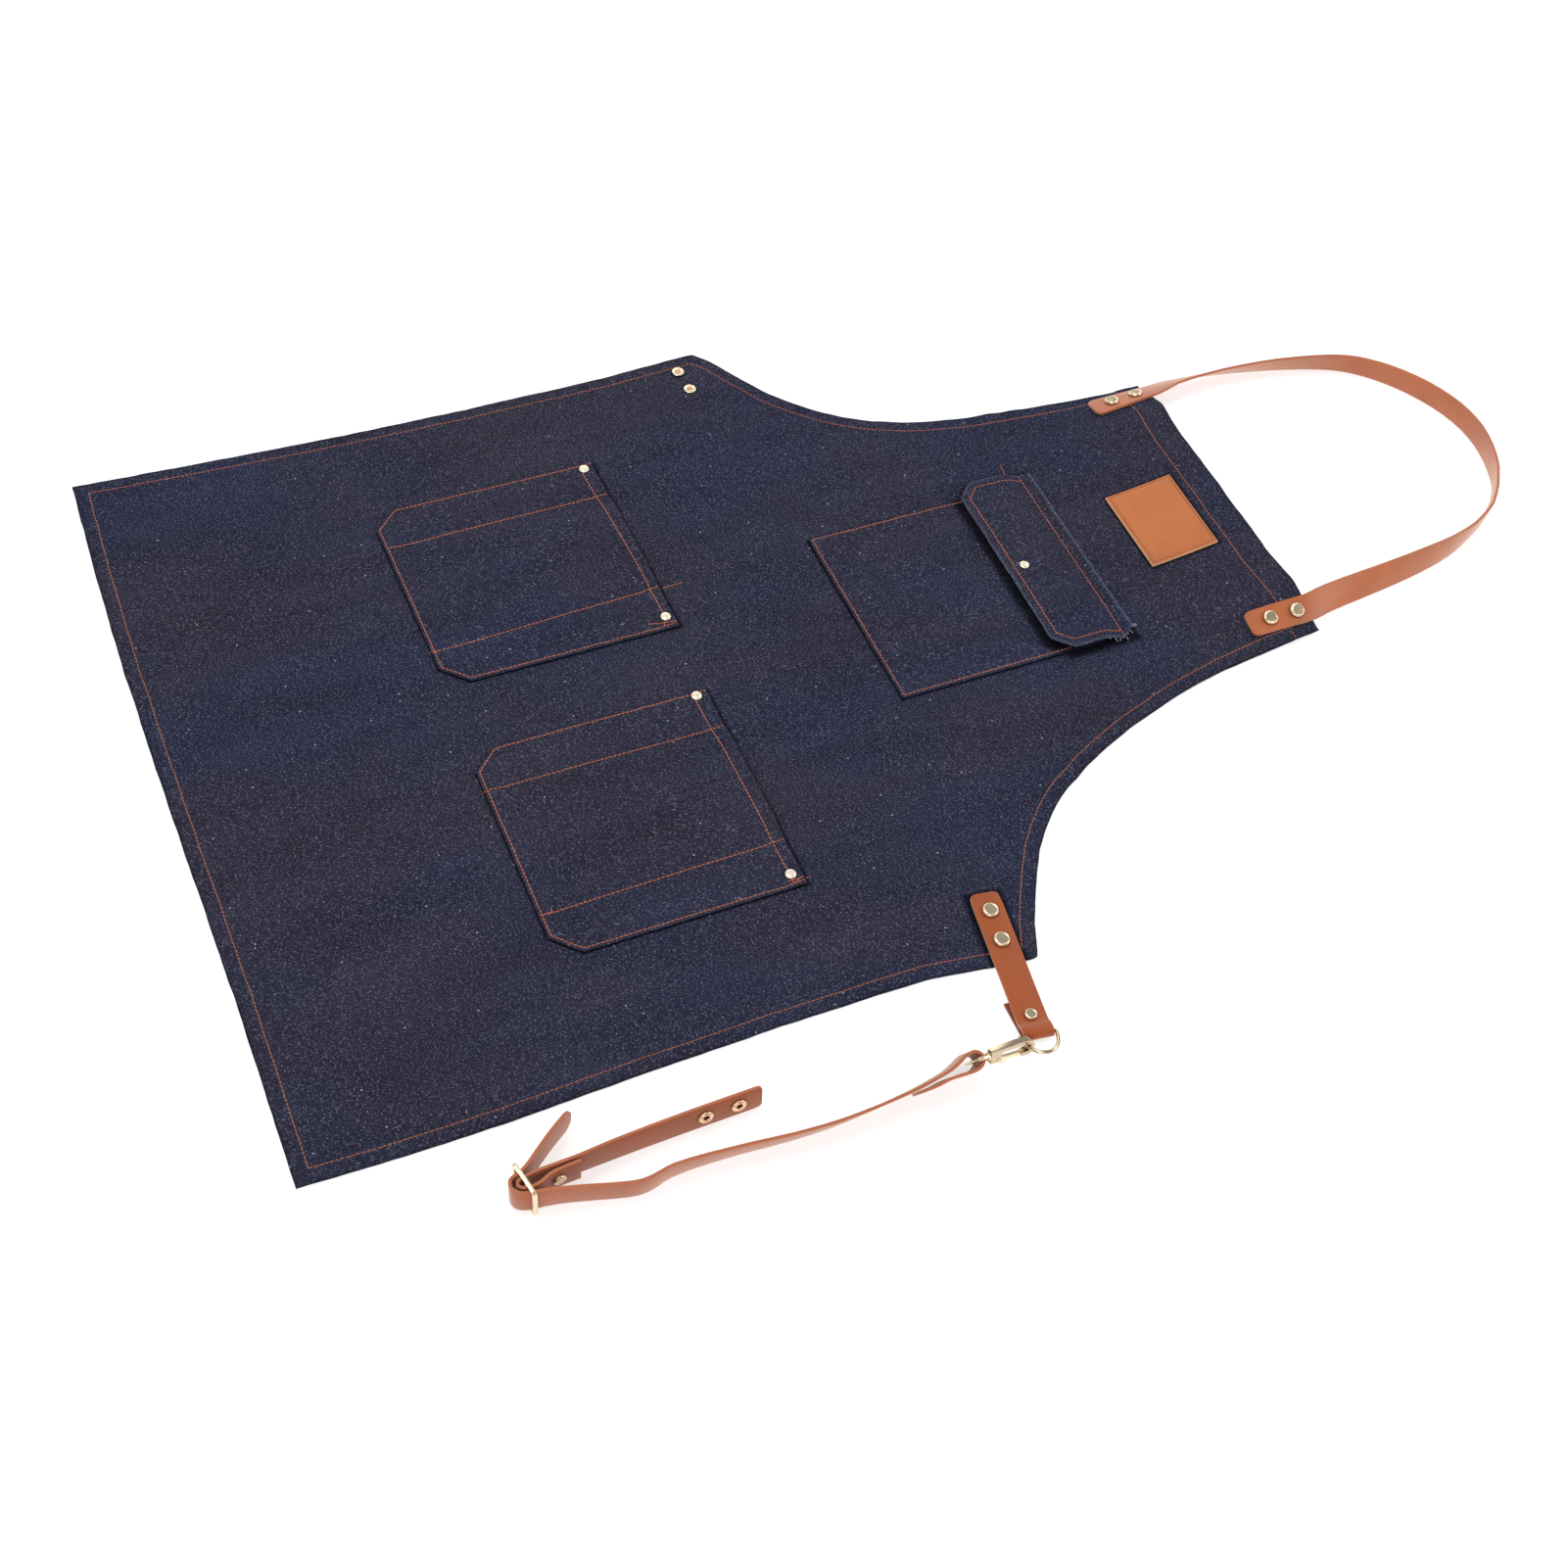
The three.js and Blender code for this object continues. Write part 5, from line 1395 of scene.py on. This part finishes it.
def make_camera(scene):
    """The photograph's camera."""
    lens = bpy.data.cameras.new("camera")
    lens.lens = LENS
    lens.sensor_width = SENSOR
    camera = bpy.data.objects.new("camera", lens)
    turn = Matrix((CAMERA_RIGHT, CAMERA_UP, CAMERA_BACK)).transposed().to_4x4()
    camera.matrix_world = Matrix.Translation(CAMERA_PLACE) @ turn
    scene.collection.objects.link(camera)
    scene.camera = camera


class APRON_OT_panel(bpy.types.Operator):
    """Lay the hemmed denim panel with its arched bib top"""

    bl_idname = "apron.panel"
    bl_label = "Denim panel"

    def execute(self, context):
        make_panel(context.scene.apron_sizes)
        return {"FINISHED"}


class APRON_OT_pockets(bpy.types.Operator):
    """Sew on the two lower pockets"""

    bl_idname = "apron.pockets"
    bl_label = "Lower pockets"

    def execute(self, context):
        for row in POUCHES[:2]:
            make_pocket(row, context.scene.apron_sizes)
        return {"FINISHED"}


class APRON_OT_chest(bpy.types.Operator):
    """Sew on the chest pocket and its flap"""

    bl_idname = "apron.chest"
    bl_label = "Chest pocket and flap"

    def execute(self, context):
        make_pocket(POUCHES[2], context.scene.apron_sizes)
        make_flap(context.scene.apron_sizes)
        return {"FINISHED"}


class APRON_OT_patch(bpy.types.Operator):
    """Set the blank leather patch on the bib"""

    bl_idname = "apron.patch"
    bl_label = "Leather patch"

    def execute(self, context):
        make_patch(context.scene.apron_sizes)
        return {"FINISHED"}


# Straps: each node's piece and the finish of its face
STRAPS = {
    "neck_strap": ("neck_band", "cognac_neck"),
    "side_tab": ("ring_tab", "cognac_strap"),
    "waist_strap": ("waist_band", "cognac_strap"),
    "buckle_strap": ("buckle_band", "cognac_strap"),
}


class APRON_OT_straps(bpy.types.Operator):
    """Lay the leather straps and the side tab"""

    bl_idname = "apron.straps"
    bl_label = "Leather straps"

    def execute(self, context):
        for node, (name, face) in STRAPS.items():
            make_strap(node, name, face, context.scene.apron_sizes)
        return {"FINISHED"}


class APRON_OT_caps(bpy.types.Operator):
    """Set the rivets, snaps, sockets and studs"""

    bl_idname = "apron.caps"
    bl_label = "Rivets and snaps"

    def execute(self, context):
        for node in sorted(NODES):
            if "pocket" in node and "rivet" in node or node == "flap_snap":
                make_cap(node, DOME, "champagne")
            elif "rivet" in node:
                # The rivets' middles take the darker gold, painted shade for their darker reflection
                make_cap(node, RIVET, "pale_gold", "warm_gold", DISH)
            elif "socket" in node:
                # The sockets' holes are painted dark as shade
                make_cap(node, SOCKET, "rose_gold", "dark_bore", BORE)
            elif "stud" in node:
                make_cap(node, STUD, "champagne", "rose_gold", POST)
        return {"FINISHED"}


class APRON_OT_hardware(bpy.types.Operator):
    """Make the ring, the snap hook and the buckle"""

    bl_idname = "apron.hardware"
    bl_label = "Ring, hook and buckle"

    def execute(self, context):
        sizes = context.scene.apron_sizes
        make_wire("d_ring", "wire_ring")
        make_metal("hook_eye", "swivel_eye", "apron", "pale_gold", sizes)
        # The hook's body takes the darker gold, painted shade for its darker reflection
        make_metal("hook_body", "snap_hook", "hook", "dull_gold", sizes)
        make_metal("hook_gate", "snap_gate", "gate", "pale_gold", sizes)
        make_metal("buckle_frame", "buckle", "apron", "pale_gold", sizes)
        make_metal("buckle_prong", "prong", "apron", "pale_gold", sizes)
        return {"FINISHED"}


OPERATORS = (
    APRON_OT_stage,
    APRON_OT_panel,
    APRON_OT_pockets,
    APRON_OT_chest,
    APRON_OT_patch,
    APRON_OT_straps,
    APRON_OT_caps,
    APRON_OT_hardware,
)


class APRON_PT_sidebar(bpy.types.Panel):
    """Lists the apron's operators and settings"""

    bl_idname = "APRON_PT_sidebar"
    bl_label = "Apron"
    bl_space_type = "VIEW_3D"
    bl_region_type = "UI"
    bl_category = "Apron"

    def draw(self, context):
        for operator in OPERATORS:
            self.layout.operator(operator.bl_idname)
        for group in (context.scene.apron_sizes, context.scene.apron_colours):
            for name in group.bl_rna.properties.keys():
                if name not in ("rna_type", "name"):
                    self.layout.prop(group, name)


CLASSES = (ApronSizes, ApronColours, *OPERATORS, APRON_PT_sidebar)


def register():
    for each in CLASSES:
        bpy.utils.register_class(each)
    bpy.types.Scene.apron_sizes = bpy.props.PointerProperty(type=ApronSizes)
    bpy.types.Scene.apron_colours = bpy.props.PointerProperty(type=ApronColours)


def unregister():
    del bpy.types.Scene.apron_sizes
    del bpy.types.Scene.apron_colours
    for each in reversed(CLASSES):
        bpy.utils.unregister_class(each)


def main():
    register()
    bpy.ops.apron.stage()
    bpy.ops.apron.panel()
    bpy.ops.apron.pockets()
    bpy.ops.apron.chest()
    bpy.ops.apron.patch()
    bpy.ops.apron.straps()
    bpy.ops.apron.caps()
    bpy.ops.apron.hardware()


if __name__ == "__main__":
    main()
